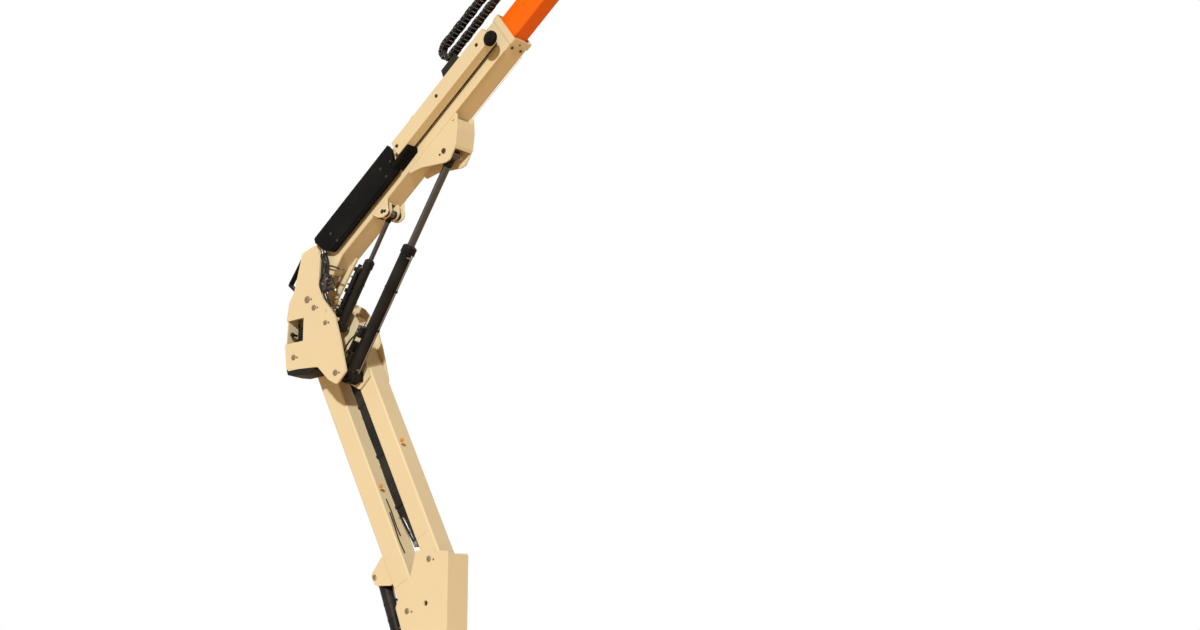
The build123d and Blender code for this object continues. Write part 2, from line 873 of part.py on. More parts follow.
with BuildPart() as boom_base:
    box_tube(boom, boom_rear, boom_front, boom_low, boom_high, boom_y, boom_width, boom_wall, 18)
    box_tube(boom, boom_front - 70, boom_front, boom_low - 10, boom_high + 10, boom_y, boom_width + 20, 14, 24)
    slab(
        boom,
        [(-75, -66), (80, -66), (560, 85), (560, 112), (300, 300), (230, 300)],
        boom_near - 10,
        boom_near + 6,
        radius=[55, 55, 10, 10, 20, 20],
    )
    # The far pivot plate stays below the fly, which slides back to just short of the tube's rear end
    slab(
        boom,
        [(-75, -66), (80, -66), (560, 85), (560, boom_low + 6), (330, boom_low + 6), (300, 280), (230, 300)],
        -172,
        -148,
        radius=[55, 55, 8, 8, 8, 8, 20],
    )
    disc(boom, (0, 0), 62, boom_near - 10, -148)
    fly_near = boom_y - fly_width / 2
    fly_far = boom_y + fly_width / 2
    for y_low, y_high in ((boom_near + 6, fly_near - pad_gap), (fly_far + pad_gap, boom_far - 6)):
        bar(boom, boom_front - 160, boom_front - 10, fly_low + 60, fly_high - 60, y_low, y_high)
    for low, high in ((boom_low + 6, fly_low - pad_gap), (fly_high + pad_gap, boom_high - 6)):
        bar(boom, boom_front - 160, boom_front - 10, low, high, boom_y - 60, boom_y + 60)
    for y_low, y_high in ((boom_near, boom_near + 16), (boom_far - 16, boom_far)):
        slab(boom, lift_bracket, y_low, y_high, radius=24)
    slab(
        boom,
        [(2234, -187), (2262, -172), (2379, -50), (2430, 30), (2412, 40), (2364, -38)],
        boom_near + 2,
        boom_far - 2,
    )
    disc(boom, (2396, 62), 16, boom_near - 14, boom_far + 14)
    # The master rod's end swings up through this slot in the boom's bottom wall
    bar(boom, 1070, 1268, boom_low - 5, boom_low + boom_wall + 5, boom_y - 42, boom_y + 42, mode=Mode.SUBTRACT)
    for y_low, y_high in ((boom_y - 62, boom_y - 46), (boom_y + 46, boom_y + 62)):
        slab(boom, master_bracket, y_low, y_high, radius=20)
    for y_low, y_high in ((boom_near - 6, boom_near + 30), (boom_far - 30, boom_far + 6)):
        disc(boom, lift_tip, 30, y_low, y_high)
    for y_low, y_high in ((boom_y - 70, boom_y - 46), (boom_y + 46, boom_y + 70)):
        disc(boom, master_tip, 22, y_low, y_high)
    disc(boom, (0, 0), boom_pin + running_fit, boom_near - 20, -140, mode=Mode.SUBTRACT)
finish(boom_base, "boom_base")

tray_outer = -510
tray_gap = 16
tray_low = 201
tray_high = 371
tray_start = 1760
tray_end = 3185
tray_wall = 6
tray_cap_radius = 76
cover_outer = -500
cover_return = 44

with BuildPart() as boom_cover:
    slab(
        boom,
        [(438, 428), (438, 70), (530, 14), (1700, 38), (1700, 436)],
        cover_outer,
        cover_outer + cover_return,
        radius=26,
    )
    slab(
        boom,
        [(400, 422), (400, 76), (532, 20), (1694, 44), (1694, 430)],
        cover_outer + 6,
        cover_outer + cover_return + 10,
        radius=20,
        mode=Mode.SUBTRACT,
    )
    for along in (760, 1500):
        bar(boom, along, along + 60, 180, 300, cover_outer + 5, boom_near)
    bar(boom, 1696, 1950, 66, 160, boom_near - 84, boom_near)
finish(boom_cover, "boom_cover")

with BuildPart() as hose_tray:
    tray_middle = (tray_outer + boom_near - tray_gap) / 2
    tray_width = boom_near - tray_gap - tray_outer
    box_tube(boom, tray_start, tray_end, tray_low, tray_high, tray_middle, tray_width, tray_wall, 12)
    for along in (tray_start + 90, (tray_start + tray_end) / 2, tray_end - 150):
        bar(boom, along, along + 60, tray_low + 30, tray_high - 30, boom_near - tray_gap - tray_wall, boom_near)
    bar(boom, tray_start + 290, tray_start + 350, tray_high, tray_high + 55, tray_outer + 40, tray_outer + 110)
finish(hose_tray, "hose_tray")

with BuildPart() as tray_cap:
    disc(boom, (tray_end + tray_cap_radius, tray_low - 28), tray_cap_radius, tray_outer - 50, boom_near - 20)
    bar(
        boom,
        tray_end,
        tray_end + 2 * tray_cap_radius - 30,
        tray_low - 80,
        tray_low + 70,
        boom_near - 90,
        boom_near,
    )
finish(tray_cap, "tray_cap")

nose_in = 44
nose_out = 57

with BuildPart() as fly_boom:
    box_tube(boom, fly_rear, jib_pivot_along - 170, fly_low, fly_high, boom_y, fly_width, fly_wall, 16)
    pad_faces = (boom_near + boom_wall + pad_gap, fly_near + 4), (fly_far - 4, boom_far - boom_wall - pad_gap)
    for y_low, y_high in pad_faces:
        bar(boom, fly_rear, fly_rear + 150, fly_low + 60, fly_high - 60, y_low, y_high)
    pad_faces = (boom_low + boom_wall + pad_gap, fly_low + 4), (fly_high - 4, boom_high - boom_wall - pad_gap)
    for low, high in pad_faces:
        bar(boom, fly_rear, fly_rear + 150, low, high, boom_y - 60, boom_y + 60)
    for y_low, y_high in ((boom_y - nose_out, boom_y - nose_in), (boom_y + nose_in, boom_y + nose_out)):
        slab(
            boom,
            [
                (jib_pivot_along - 420, fly_low + 30),
                (jib_pivot_along - 250, fly_low + 20),
                (jib_pivot_along + 20, jib_pivot_across - 66),
                (jib_pivot_along + 66, jib_pivot_across + 20),
                (jib_pivot_along - 160, fly_high - 20),
                (jib_pivot_along - 420, fly_high - 20),
            ],
            y_low,
            y_high,
            radius=50,
        )
    for low, high in ((fly_low + 2, fly_low + 22), (fly_high - 22, fly_high - 2)):
        bar(boom, jib_pivot_along - 400, jib_pivot_along - 180, low, high, boom_y - nose_out, boom_y + nose_out)
    disc((*jib_pivot, boom_angle), slave_base, small_pin, fly_near + 1, fly_far - 1)
    disc(boom, (jib_pivot_along, jib_pivot_across), 30 + running_fit, boom_y - 100, boom_y + 100, mode=Mode.SUBTRACT)
finish(fly_boom, "fly_boom")

track_low = 492
track_high = 706
track_run = 58
track_start = 2700
track_end = 5040
track_near = -488
track_far = -410

with BuildPart() as powertrack:
    slab(
        boom,
        [
            (track_start, track_low),
            (track_end, track_low),
            (track_end, track_low + track_run),
            (track_start + track_run, track_low + track_run),
            (track_start + track_run, track_high - track_run),
            (track_end, track_high - track_run),
            (track_end, track_high),
            (track_start, track_high),
        ],
        track_near,
        track_far,
        radius=[96, 1, 1, 44, 44, 1, 1, 96],
    )
    bar(boom, track_end - 80, track_end - 12, fly_high - 60, fly_high + 12, track_far - 10, fly_near)
    bar(boom, track_end - 80, track_end - 12, fly_high, track_low + track_run, track_far - 10, track_far + 8)
finish(powertrack, "powertrack")

# ---- cylinders ---------------------------------------------------------------------------------

cylinder("lift", lift_base_pin, lift_tip_pin, boom_y, 1400, 66, 38, 1800, lift_pin, 150)
cylinder("master", master_base_pin, master_tip_pin, boom_y, 710, 45, 24, 970, master_pin, 110)
cylinder("tower", tower_ear_pin, tower_foot_pin, 0, 655, 66, 36, 752, tower_pin, 104)
cylinder("slave", slave_base_pin, slave_tip_pin, boom_y, 520, 34, 20, 790, small_pin, 72)
cylinder("jib", jib_foot_pin, jib_tip_pin, boom_y, 480, 32, 20, 540, small_pin, 66)

# ---- jib ---------------------------------------------------------------------------------------

cheek_in = 62
cheek_out = 82
jib_fork = 44
jib_fork_reach = 860
jib_base_place = (*jib_pivot, 0)

with BuildPart() as jib_base:
    for side in (-1, 1):
        inner, outer = sorted((boom_y + side * cheek_in, boom_y + side * cheek_out))
        slab(
            jib_base_place,
            [(-60, -60), (20, -260), (340, -235), (370, 90), (230, 100), (30, 215), (-65, 215)],
            inner,
            outer,
            radius=45,
        )
    bar(jib_base_place, 150, 166, -120, 80, boom_y - cheek_in, boom_y + cheek_in)
    disc(jib_base_place, (0, 0), 30, boom_y - cheek_out - 8, boom_y + cheek_out + 8)
    for side in (-1, 1):
        inner, outer = sorted((boom_y + side * (jib_fork + 1), boom_y + side * (cheek_out + 8)))
        disc(level, jib_pin, 28, inner, outer)
        inner, outer = sorted((boom_y + side * cheek_in, boom_y + side * (cheek_out + 26)))
        disc(level, jib_link_pin, 24, inner, outer)
        inner, outer = sorted((boom_y + side * 36, boom_y + side * cheek_out))
        disc(level, slave_tip_pin, small_pin, inner, outer)
    disc(level, jib_foot_pin, small_pin, boom_y - cheek_out - 4, boom_y + cheek_out + 4)
finish(jib_base, "jib_base")

with BuildPart() as jib_arm:
    box_tube(jib, jib_fork_reach, jib_length - 70, -45, 45, boom_y, 110, 6, 12)
    # The arm's root is a fork, so that the jib cylinder passes between its two plates
    for y_low, y_high in ((boom_y - 57, boom_y - jib_fork), (boom_y + jib_fork, boom_y + 57)):
        bar(jib, 0, jib_fork_reach + 90, -43, 43, y_low, y_high)
        disc(jib, (0, 0), 50, y_low, y_high)
        slab(jib, [(590, -38), (650, -180), (716, -180), (776, -38)], y_low, y_high, radius=20)
    bar(jib, jib_fork_reach, jib_fork_reach + 12, -43, 43, boom_y - 50, boom_y + 50)
    bar(jib, jib_length - 120, jib_length, -40, 40, boom_y - 55, boom_y + 55)
    disc(jib, (jib_length, 0), 50, boom_y - 55, boom_y + 55)
    for along in (0, jib_length):
        disc(jib, (along, 0), 28 + running_fit, boom_y - 70, boom_y + 70, mode=Mode.SUBTRACT)
    for y_low, y_high in ((boom_y - 50, boom_y - 34), (boom_y + 34, boom_y + 50)):
        disc(jib, jib_cylinder_tip, 16, y_low, y_high)
finish(jib_arm, "jib_arm")

with BuildPart() as jib_links:
    link_place = (*jib_link_pin, jib_angle)
    for side in (-1, 1):
        inner, outer = sorted((boom_y + side * 88, boom_y + side * 104))
        bar(link_place, 0, jib_length, -28, 28, inner, outer)
        for along in (0, jib_length):
            disc(link_place, (along, 0), 42, inner, outer)
            disc(link_place, (along, 0), 24 + running_fit, inner - 4, outer + 4, mode=Mode.SUBTRACT)
finish(jib_links, "jib_links")

with BuildPart() as jib_head:
    head = (*jib_end, 0)
    for side in (-1, 1):
        inner, outer = sorted((boom_y + side * cheek_in, boom_y + side * cheek_out))
        slab(
            head,
            [(-50, 60), (-50, -60), (0, -270), (110, -290), (130, 80), (40, 90)],
            inner,
            outer,
            radius=36,
        )
        inner, outer = sorted((boom_y + side * cheek_in, boom_y + side * (cheek_out + 26)))
        disc(level, jib_link_end, 24, inner, outer)
    disc(head, (0, 0), 28, boom_y - cheek_out - 8, boom_y + cheek_out + 8)
    block(
        jib_end[0] + 80,
        rotator_x - 40,
        boom_y - cheek_in - 4,
        boom_y + cheek_in + 4,
        jib_end[1] - 250,
        jib_end[1] + 40,
    )
    upright_bar(rotator_x, boom_y, jib_end[1] - 270, jib_end[1] + 60, 76)
    upright_bar(
        rotator_x,
        boom_y,
        jib_end[1] - 280,
        jib_end[1] + 70,
        rotator_pin + running_fit,
        mode=Mode.SUBTRACT,
    )
finish(jib_head, "jib_head")

# ---- platform ----------------------------------------------------------------------------------

with BuildPart() as platform_mount:
    upright_bar(rotator_x, boom_y, jib_end[1] - 302, jib_end[1] + 88, rotator_pin)
    for z_low, z_high in ((jib_end[1] - 302, jib_end[1] - 272), (jib_end[1] + 62, jib_end[1] + 88)):
        upright_bar(rotator_x, boom_y, z_low, z_high, 84)
        block(rotator_x, platform_x - 26, boom_y - 60, boom_y + 60, z_low, z_high)
    block(platform_x - 50, platform_x - 26, boom_y - 300, boom_y + 300, floor_z, jib_end[1] + 88)
finish(platform_mount, "platform_mount")

# Rails, ribs and posts of the platform are round tubes joined end to end
platform_y_low = boom_y - platform_width / 2
platform_y_high = boom_y + platform_width / 2
platform_front = platform_x + platform_depth
post_x = (platform_x, (platform_x + platform_front) / 2, platform_front)
gate_low = 130
gate_high = 630


def tube_between(start, end, radius=rail_tube, mode=Mode.ADD):
    """A round bar or bore from one point to another."""
    way = Vector(*end) - Vector(*start)
    with BuildSketch(Plane(origin=start, z_dir=way)) as ring:
        Circle(radius)
    extrude(ring.sketch, amount=way.length, mode=mode)


with BuildPart() as platform_frame:
    block(platform_x - 26, platform_front + 26, platform_y_low - 26, platform_y_high + 26, floor_z - 40, floor_z)
    block(platform_x - 26, platform_x - 20, platform_y_low, platform_y_high, floor_z, floor_z + 150)
    block(platform_front + 20, platform_front + 26, platform_y_low, platform_y_high, floor_z, floor_z + 150)
    for y in (platform_y_low, platform_y_high):
        inner, outer = sorted((y, y + (6 if y > boom_y else -6)))
        if y < boom_y:
            block(platform_x, platform_front, inner, outer, floor_z, floor_z + 150)
    for height in (rail_height, rail_height * 0.55):
        z = floor_z + height
        for x in (platform_x, platform_front):
            tube_between((x, platform_y_low, z), (x, platform_y_high, z), mid_rail)
        tube_between((platform_x, platform_y_low, z), (platform_front, platform_y_low, z), mid_rail)
        for start, stop in ((0, gate_low), (gate_high, platform_depth)):
            tube_between((platform_x + start, platform_y_high, z), (platform_x + stop, platform_y_high, z), mid_rail)
    for x, y in (
        (platform_x, platform_y_low),
        (platform_x, boom_y - 300),
        (platform_x, boom_y + 300),
        (platform_x, platform_y_high),
        (platform_x + gate_low, platform_y_high),
        (platform_x + gate_high, platform_y_high),
        (platform_front, platform_y_high),
        (platform_front, boom_y + 300),
        (platform_front, boom_y - 300),
        (platform_front, platform_y_low),
        (platform_x + 380, platform_y_low),
    ):
        tube_between((x, y, floor_z - 5), (x, y, floor_z + rail_height + 25))
finish(platform_frame, "platform_frame")

with BuildPart() as platform_gate:
    gate_start = platform_x + gate_low
    gate_end = platform_x + gate_high - 2 * rail_tube - 8
    for z in (floor_z + 180, floor_z + rail_height * 0.55 + 60, floor_z + rail_height - 60):
        tube_between((gate_start, platform_y_high, z), (gate_end, platform_y_high, z), 13)
        upright_bar(gate_start, platform_y_high, z - 24, z + 24, 30)
    tube_between(
        (gate_end, platform_y_high, floor_z + 120),
        (gate_end, platform_y_high, floor_z + rail_height - 20),
        16,
    )
    upright_bar(
        gate_start,
        platform_y_high,
        floor_z,
        floor_z + rail_height,
        rail_tube + running_fit,
        mode=Mode.SUBTRACT,
    )
finish(platform_gate, "platform_gate")

with BuildPart() as platform_console:
    block(
        platform_front - 170,
        platform_front - 25,
        boom_y - 250,
        boom_y + 250,
        floor_z + rail_height - 230,
        floor_z + rail_height - 40,
    )
    rail_z = floor_z + rail_height
    for side in (-1, 1):
        y_low, y_high = sorted((boom_y + side * 140, boom_y + side * 180))
        block(platform_front - 30, platform_front, y_low, y_high, rail_z - 200, rail_z + 10)
    tube_between(
        (platform_front, boom_y - 260, rail_z),
        (platform_front, boom_y + 260, rail_z),
        mid_rail,
        mode=Mode.SUBTRACT,
    )
finish(platform_console, "platform_console")
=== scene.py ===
# %% [markdown]
# # An articulating boom lift, dressed in Blender
#
# The machine's steelwork, pins and cylinders come ready made from the CAD model. This lesson gives them paint,
# wear, hoses, bolts and rubber, a piece at a time. It starts by loading the CAD model as a fixed frame. Every
# length is in metres: +X is the way the boom points, +Z is up, and the ground is at zero.

# %% Load the frame
import math

import bmesh
import bpy
from mathutils import Matrix, Vector


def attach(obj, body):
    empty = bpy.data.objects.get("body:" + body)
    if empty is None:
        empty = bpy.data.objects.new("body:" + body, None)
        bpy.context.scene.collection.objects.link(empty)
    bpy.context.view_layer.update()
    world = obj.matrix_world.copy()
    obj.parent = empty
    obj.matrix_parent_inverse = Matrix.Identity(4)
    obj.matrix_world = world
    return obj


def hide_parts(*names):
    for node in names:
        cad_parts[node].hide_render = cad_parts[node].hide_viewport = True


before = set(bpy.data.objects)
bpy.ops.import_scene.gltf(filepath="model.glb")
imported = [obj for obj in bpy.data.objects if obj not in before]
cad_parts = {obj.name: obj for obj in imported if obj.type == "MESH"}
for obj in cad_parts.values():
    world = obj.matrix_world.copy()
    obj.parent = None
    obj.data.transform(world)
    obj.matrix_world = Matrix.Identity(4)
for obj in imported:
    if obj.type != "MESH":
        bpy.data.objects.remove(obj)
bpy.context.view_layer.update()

# %% [markdown]
# ## Camera
#
# A person standing on the ground looks up at the raised boom from about twenty metres off. A long lens keeps
# the uprights straight. The camera only takes the view: nothing on the machine depends on it.

# %% Camera
camera_data = bpy.data.cameras.new("viewer")
camera_data.lens = 66.0
camera_data.sensor_width = 36.0
camera_data.clip_end = 300.0
camera = bpy.data.objects.new("viewer", camera_data)
camera.location = (14.993, -14.712, 1.452)
camera.rotation_euler = (math.radians(90 + 14.6), 0, math.radians(40))
bpy.context.scene.collection.objects.link(camera)
bpy.context.scene.camera = camera
print("camera height", camera.location.z)

# %% [markdown]
# ## Light
#
# A low sun lights the machine's near side. A warm fill stands for light thrown back by dry ground: some comes
# from the pale floor, which glows faintly, and the rest from the world. The world looks white to the camera
# and to glossy surfaces, while its light on the paint is kept lower and warmer.

# %% Sun
view = bpy.context.scene.view_settings
view.view_transform = "Standard"
sun_data = bpy.data.lights.new("key_sun", "SUN")
sun_data.energy = 3.2
sun_data.angle = math.radians(3.0)
sun_data.color = (1.0, 0.985, 0.95)
sun = bpy.data.objects.new("key_sun", sun_data)
sun_way = Vector((-0.52, 0.79, -0.31))
sun.rotation_euler = sun_way.to_track_quat("-Z", "Y").to_euler()
bpy.context.scene.collection.objects.link(sun)
print("sun", round(90 - math.degrees(sun_way.angle(Vector((0, 0, -1)))), 1), "degrees up")

# %% [markdown]
# ### Nodes
#
# Shading is built from nodes, and most of the work is the same each time: make one, set its options, then give
# each input a value or a link. One function does that for the world, the floor and every finish.

# %% Node tools
WHITE = (1.0, 1.0, 1.0, 1.0)


def add_node(tree, kind, inputs=None, **settings):
    """A node with its settings made. An input that is given a socket is linked, and any other is set."""
    node = tree.nodes.new(kind)
    for key, value in settings.items():
        setattr(node, key, value)
    for key, value in (inputs or {}).items():
        if isinstance(value, bpy.types.NodeSocket):
            tree.links.new(value, node.inputs[key])
        else:
            node.inputs[key].default_value = value
    return node


def maths(tree, operation, first, second, clamp=False):
    """A Math node's output."""
    return add_node(tree, "ShaderNodeMath", {0: first, 1: second}, operation=operation, use_clamp=clamp).outputs[0]


def noise(tree, scale, detail=3.0, stretch=(1, 1, 1)):
    """Noise over the object's own coordinates, stretched along its axes."""
    place = add_node(tree, "ShaderNodeTexCoord").outputs["Object"]
    mapping = add_node(tree, "ShaderNodeMapping", {"Scale": stretch, "Vector": place})
    inputs = {"Detail": detail, "Scale": scale, "Vector": mapping.outputs[0]}
    return add_node(tree, "ShaderNodeTexNoise", inputs).outputs["Fac"]


def ramp(tree, value, low, high):
    """Nought below low, one above high, smooth between."""
    inputs = {"From Min": low, "From Max": high, "Value": value}
    return add_node(tree, "ShaderNodeMapRange", inputs, interpolation_type="SMOOTHSTEP").outputs[0]


def blend_colours(tree, amount, first, second):
    """A colour between two, by an amount."""
    inputs = {"Factor": amount, "A": first, "B": second}
    return add_node(tree, "ShaderNodeMix", inputs, data_type="RGBA").outputs["Result"]


print("white is", WHITE)

# %% World
world = bpy.data.worlds.new("pale_day")
bpy.context.scene.world = world
world.use_nodes = True
sky = world.node_tree
sky.nodes.clear()
ray = add_node(sky, "ShaderNodeLightPath").outputs
seen = maths(sky, "MAXIMUM", ray["Is Camera Ray"], ray["Is Glossy Ray"])
seen = maths(sky, "MAXIMUM", seen, ray["Is Transmission Ray"])
warm_fill = add_node(sky, "ShaderNodeBackground", {"Color": (1.0, 0.58, 0.2, 1), "Strength": 0.22})
white_sky = add_node(sky, "ShaderNodeBackground", {"Color": WHITE, "Strength": 1.0})
either = add_node(sky, "ShaderNodeMixShader", {"Fac": seen, 1: warm_fill.outputs[0], 2: white_sky.outputs[0]})
add_node(sky, "ShaderNodeOutputWorld", {"Surface": either.outputs[0]})
print("world nodes", len(sky.nodes))

# %% Floor
floor_size = 60.0
floor_mesh = bpy.data.meshes.new("floor")
corners = [(x * floor_size, y * floor_size, 0) for x, y in ((-1, -1), (1, -1), (1, 1), (-1, 1))]
floor_mesh.from_pydata(corners, [], [(0, 1, 2, 3)])
floor = bpy.data.objects.new("floor", floor_mesh)
floor_paint = bpy.data.materials.new("floor")
floor_paint.use_nodes = True
ground = floor_paint.node_tree.nodes["Principled BSDF"].inputs
ground["Base Color"].default_value = (0.88, 0.72, 0.52, 1)
ground["Roughness"].default_value = 0.9
ground["Emission Color"].default_value = (1.0, 0.64, 0.36, 1)
ground["Emission Strength"].default_value = 0.3
floor_mesh.materials.append(floor_paint)
bpy.context.scene.collection.objects.link(floor)
print("floor", floor_size * 2, "m across")

# %% [markdown]
# ## Shader groups
#
# Machine paint is never one flat colour. Dust lies on what faces up, edges are rubbed, and the coat has a
# faint ripple. Each of those effects is used by several finishes, so each is a node group with named sockets,
# built once and placed in each material with its own values.


# %% Making a group
def new_group(name, inputs, outputs):
    """A shader group with named inputs and their defaults, and outputs that are a colour or values."""
    group = bpy.data.node_groups.new(name, "ShaderNodeTree")
    for label, default in inputs.items():
        kind = "NodeSocketColor" if isinstance(default, tuple) else "NodeSocketFloat"
        group.interface.new_socket(label, in_out="INPUT", socket_type=kind).default_value = default
    for label in outputs:
        kind = "NodeSocketColor" if label == "Colour" else "NodeSocketFloat"
        group.interface.new_socket(label, in_out="OUTPUT", socket_type=kind)
    return group, group.nodes.new("NodeGroupInput").outputs


print("groups so far", len(bpy.data.node_groups))

# %% [markdown]
# ### Dust, edge rub and paint ripple
#
# Dust needs to know which way the surface faces: the Z of the normal, broken up by noise. Edge rub compares
# the surface normal with a rounded one from a Bevel node: where they part, there is an edge. The ripple is a
# fine noise sent to a Bump node in the material.

# %% Dust group
inputs = {"Colour": WHITE, "Dust Colour": (0.36, 0.30, 0.23, 1), "Amount": 0.3, "Patch Scale": 3.0}
dust_group, given = new_group("settled_dust", inputs, ("Colour", "Mask"))
normal = add_node(dust_group, "ShaderNodeNewGeometry").outputs["Normal"]
height = add_node(dust_group, "ShaderNodeSeparateXYZ", {0: normal}).outputs["Z"]
upward = ramp(dust_group, height, -0.2, 0.95)
patches = ramp(dust_group, noise(dust_group, given["Patch Scale"], 6.0), 0.35, 0.7)
lying = maths(dust_group, "MULTIPLY", upward, patches)
thin_film = maths(dust_group, "MULTIPLY", patches, 0.22)
dust_sum = maths(dust_group, "MAXIMUM", lying, thin_film)
mask = maths(dust_group, "MULTIPLY", dust_sum, given["Amount"], clamp=True)
mixed = blend_colours(dust_group, mask, given["Colour"], given["Dust Colour"])
add_node(dust_group, "NodeGroupOutput", {"Colour": mixed, "Mask": mask})
print(dust_group.name, len(dust_group.nodes), "nodes")

# %% Edge rub group
inputs = {"Colour": WHITE, "Under Colour": (0.16, 0.15, 0.14, 1), "Amount": 0.4, "Break Up": 24.0}
rub_group, given = new_group("edge_rub", inputs, ("Colour", "Mask"))
sharp = add_node(rub_group, "ShaderNodeNewGeometry").outputs["Normal"]
soft = add_node(rub_group, "ShaderNodeBevel", {"Radius": 0.006}, samples=4).outputs[0]
agree = add_node(rub_group, "ShaderNodeVectorMath", {0: sharp, 1: soft}, operation="DOT_PRODUCT").outputs["Value"]
edge = ramp(rub_group, maths(rub_group, "SUBTRACT", 1.0, agree), 0.03, 0.22)
chips = ramp(rub_group, noise(rub_group, given["Break Up"], 8.0), 0.52, 0.68)
rubbed = maths(rub_group, "MULTIPLY", edge, chips)
mask = maths(rub_group, "MULTIPLY", rubbed, given["Amount"], clamp=True)
mixed = blend_colours(rub_group, mask, given["Colour"], given["Under Colour"])
add_node(rub_group, "NodeGroupOutput", {"Colour": mixed, "Mask": mask})
print(rub_group.name, len(rub_group.nodes), "nodes")

# %% Tone group
inputs = {"Colour": WHITE, "Spread": 0.06, "Scale": 1.5, "Roughness": 0.4}
inputs |= {"Roughness Spread": 0.12, "Ripple Scale": 320.0}
tone_group, given = new_group("uneven_tone", inputs, ("Colour", "Roughness", "Ripple"))
cloud = maths(tone_group, "SUBTRACT", noise(tone_group, given["Scale"], 5.0), 0.5)
cloud = maths(tone_group, "MULTIPLY", cloud, given["Spread"])
shade = maths(tone_group, "ADD", maths(tone_group, "MULTIPLY", cloud, 2.0), 1.0)
tint = add_node(tone_group, "ShaderNodeVectorMath", {0: given["Colour"], "Scale": shade}, operation="SCALE")
streak = maths(tone_group, "SUBTRACT", noise(tone_group, 9.0, 6.0, stretch=(1, 1, 0.25)), 0.5)
streak = maths(tone_group, "MULTIPLY", streak, given["Roughness Spread"])
rough = maths(tone_group, "ADD", streak, given["Roughness"], clamp=True)
ripple = noise(tone_group, given["Ripple Scale"], 2.0)
add_node(tone_group, "NodeGroupOutput", {"Colour": tint.outputs[0], "Roughness": rough, "Ripple": ripple})
print("groups", [group.name for group in bpy.data.node_groups])

# %% [markdown]
# ## Finishes
#
# One recipe serves paint, rubber, plastic and steel: an uneven tone, then edge rub, then dust on top, into one
# Principled shader. What makes rubber look like rubber and paint like paint is the numbers.


# %% Finish recipe
def colour(code):
    """A linear colour from the six-digit code that it is written with."""
    parts = [int(code[i : i + 2], 16) / 255 for i in (0, 2, 4)]
    linear = [part / 12.92 if part <= 0.04045 else ((part + 0.055) / 1.055) ** 2.4 for part in parts]
    return (*linear, 1.0)


def new_finish(
    name,
    base,
    roughness,
    metallic=0.0,
    spread=0.05,
    rub=0.4,
    under="3b3835",
    dust=0.25,
    dust_code="8f8371",
    ripple=0.05,
    ripple_scale=320.0,
    sheen=0.0,
    specular=0.5,
):
    """A finish built from the three groups and one Principled shader."""
    material = bpy.data.materials.new(name)
    material.use_nodes = True
    tree = material.node_tree
    shader = tree.nodes["Principled BSDF"]
    inputs = {"Colour": colour(base), "Spread": spread, "Scale": 1.5}
    inputs |= {"Roughness": roughness, "Ripple Scale": ripple_scale}
    tone = add_node(tree, "ShaderNodeGroup", inputs, node_tree=tone_group).outputs
    inputs = {"Colour": tone["Colour"], "Under Colour": colour(under), "Amount": rub}
    worn = add_node(tree, "ShaderNodeGroup", inputs, node_tree=rub_group).outputs
    inputs = {"Colour": worn["Colour"], "Dust Colour": colour(dust_code), "Amount": dust}
    dusty = add_node(tree, "ShaderNodeGroup", inputs, node_tree=dust_group).outputs
    bump = add_node(tree, "ShaderNodeBump", {"Strength": ripple, "Distance": 0.002, "Height": tone["Ripple"]})
    rough = maths(tree, "ADD", maths(tree, "MULTIPLY", dusty["Mask"], 0.5), tone["Roughness"], clamp=True)
    tree.links.new(dusty["Colour"], shader.inputs["Base Color"])
    tree.links.new(rough, shader.inputs["Roughness"])
    tree.links.new(bump.outputs["Normal"], shader.inputs["Normal"])
    shader.inputs["Metallic"].default_value = metallic
    shader.inputs["Coat Roughness"].default_value = 0.15
    shader.inputs["Sheen Weight"].default_value = sheen
    shader.inputs["Specular IOR Level"].default_value = specular
    return material


print("cream is", [round(part, 3) for part in colour("d8caa6")])

# %% The machine's finishes
cream_paint = new_finish("cream_paint", "d8caa6", 0.45, specular=0.3, rub=0.3, dust=0.14, dust_code="c4a877")
orange_paint = new_finish("orange_paint", "e86600", 0.42, specular=0.22, rub=0.3, dust=0.1, dust_code="b0702f")
grey_paint = new_finish("grey_paint", "4a4c4e", 0.5, specular=0.3, rub=0.5, under="7b7772", dust=0.4)
black_paint = new_finish("black_paint", "0d0d0d", 0.42, specular=0.16, rub=0.45, under="5c5955", dust=0.22)
black_plastic = new_finish("black_plastic", "121211", 0.52, specular=0.15, rub=0.1, under="2d2c2b", ripple=0.25)
cover_plastic = new_finish(
    "cover_plastic", "050505", 0.6, specular=0.08, rub=0.05, under="242322", dust=0.08, ripple=0.2
)
chromed_rod = new_finish("chromed_rod", "5a5d60", 0.16, metallic=1.0, rub=0.0, dust=0.05, ripple=0.01)
bright_steel = new_finish("bright_steel", "8c8a86", 0.38, metallic=1.0, rub=0.2, dust=0.25, spread=0.12)
dark_steel = new_finish("dark_steel", "3c3a38", 0.5, metallic=0.7, rub=0.5, under="8a867f", dust=0.35)
cast_weight = new_finish(
    "cast_weight", "34363a", 0.58, rub=0.3, under="6c6862", dust=0.45, ripple=0.5, ripple_scale=60.0
)
tyre_rubber = new_finish(
    "tyre_rubber", "1b1b1b", 0.82, rub=0.12, under="3a3937", dust=0.75, ripple=0.4, ripple_scale=120.0
)
hose_rubber = new_finish("hose_rubber", "0e0e0e", 0.5, specular=0.15, rub=0.0, dust=0.2, ripple=0.15, sheen=0.1)
pin_steel = new_finish("pin_steel", "86795f", 0.5, metallic=0.25, rub=0.4, under="b8ad98", dust=0.3)
# Painted shade: the riser bosses are cream paint, and this finish colours them orange-brown as shade.
shaded_cream_boss = new_finish("shaded_cream_boss", "d08a34", 0.5, specular=0.3, rub=0.2, dust=0.2, dust_code="b09060")
red_plastic = new_finish("red_plastic", "b3150f", 0.4, specular=0.4, rub=0.1, dust=0.2)
yellow_plastic = new_finish("yellow_plastic", "e3b21c", 0.4, specular=0.4, rub=0.1, dust=0.2)
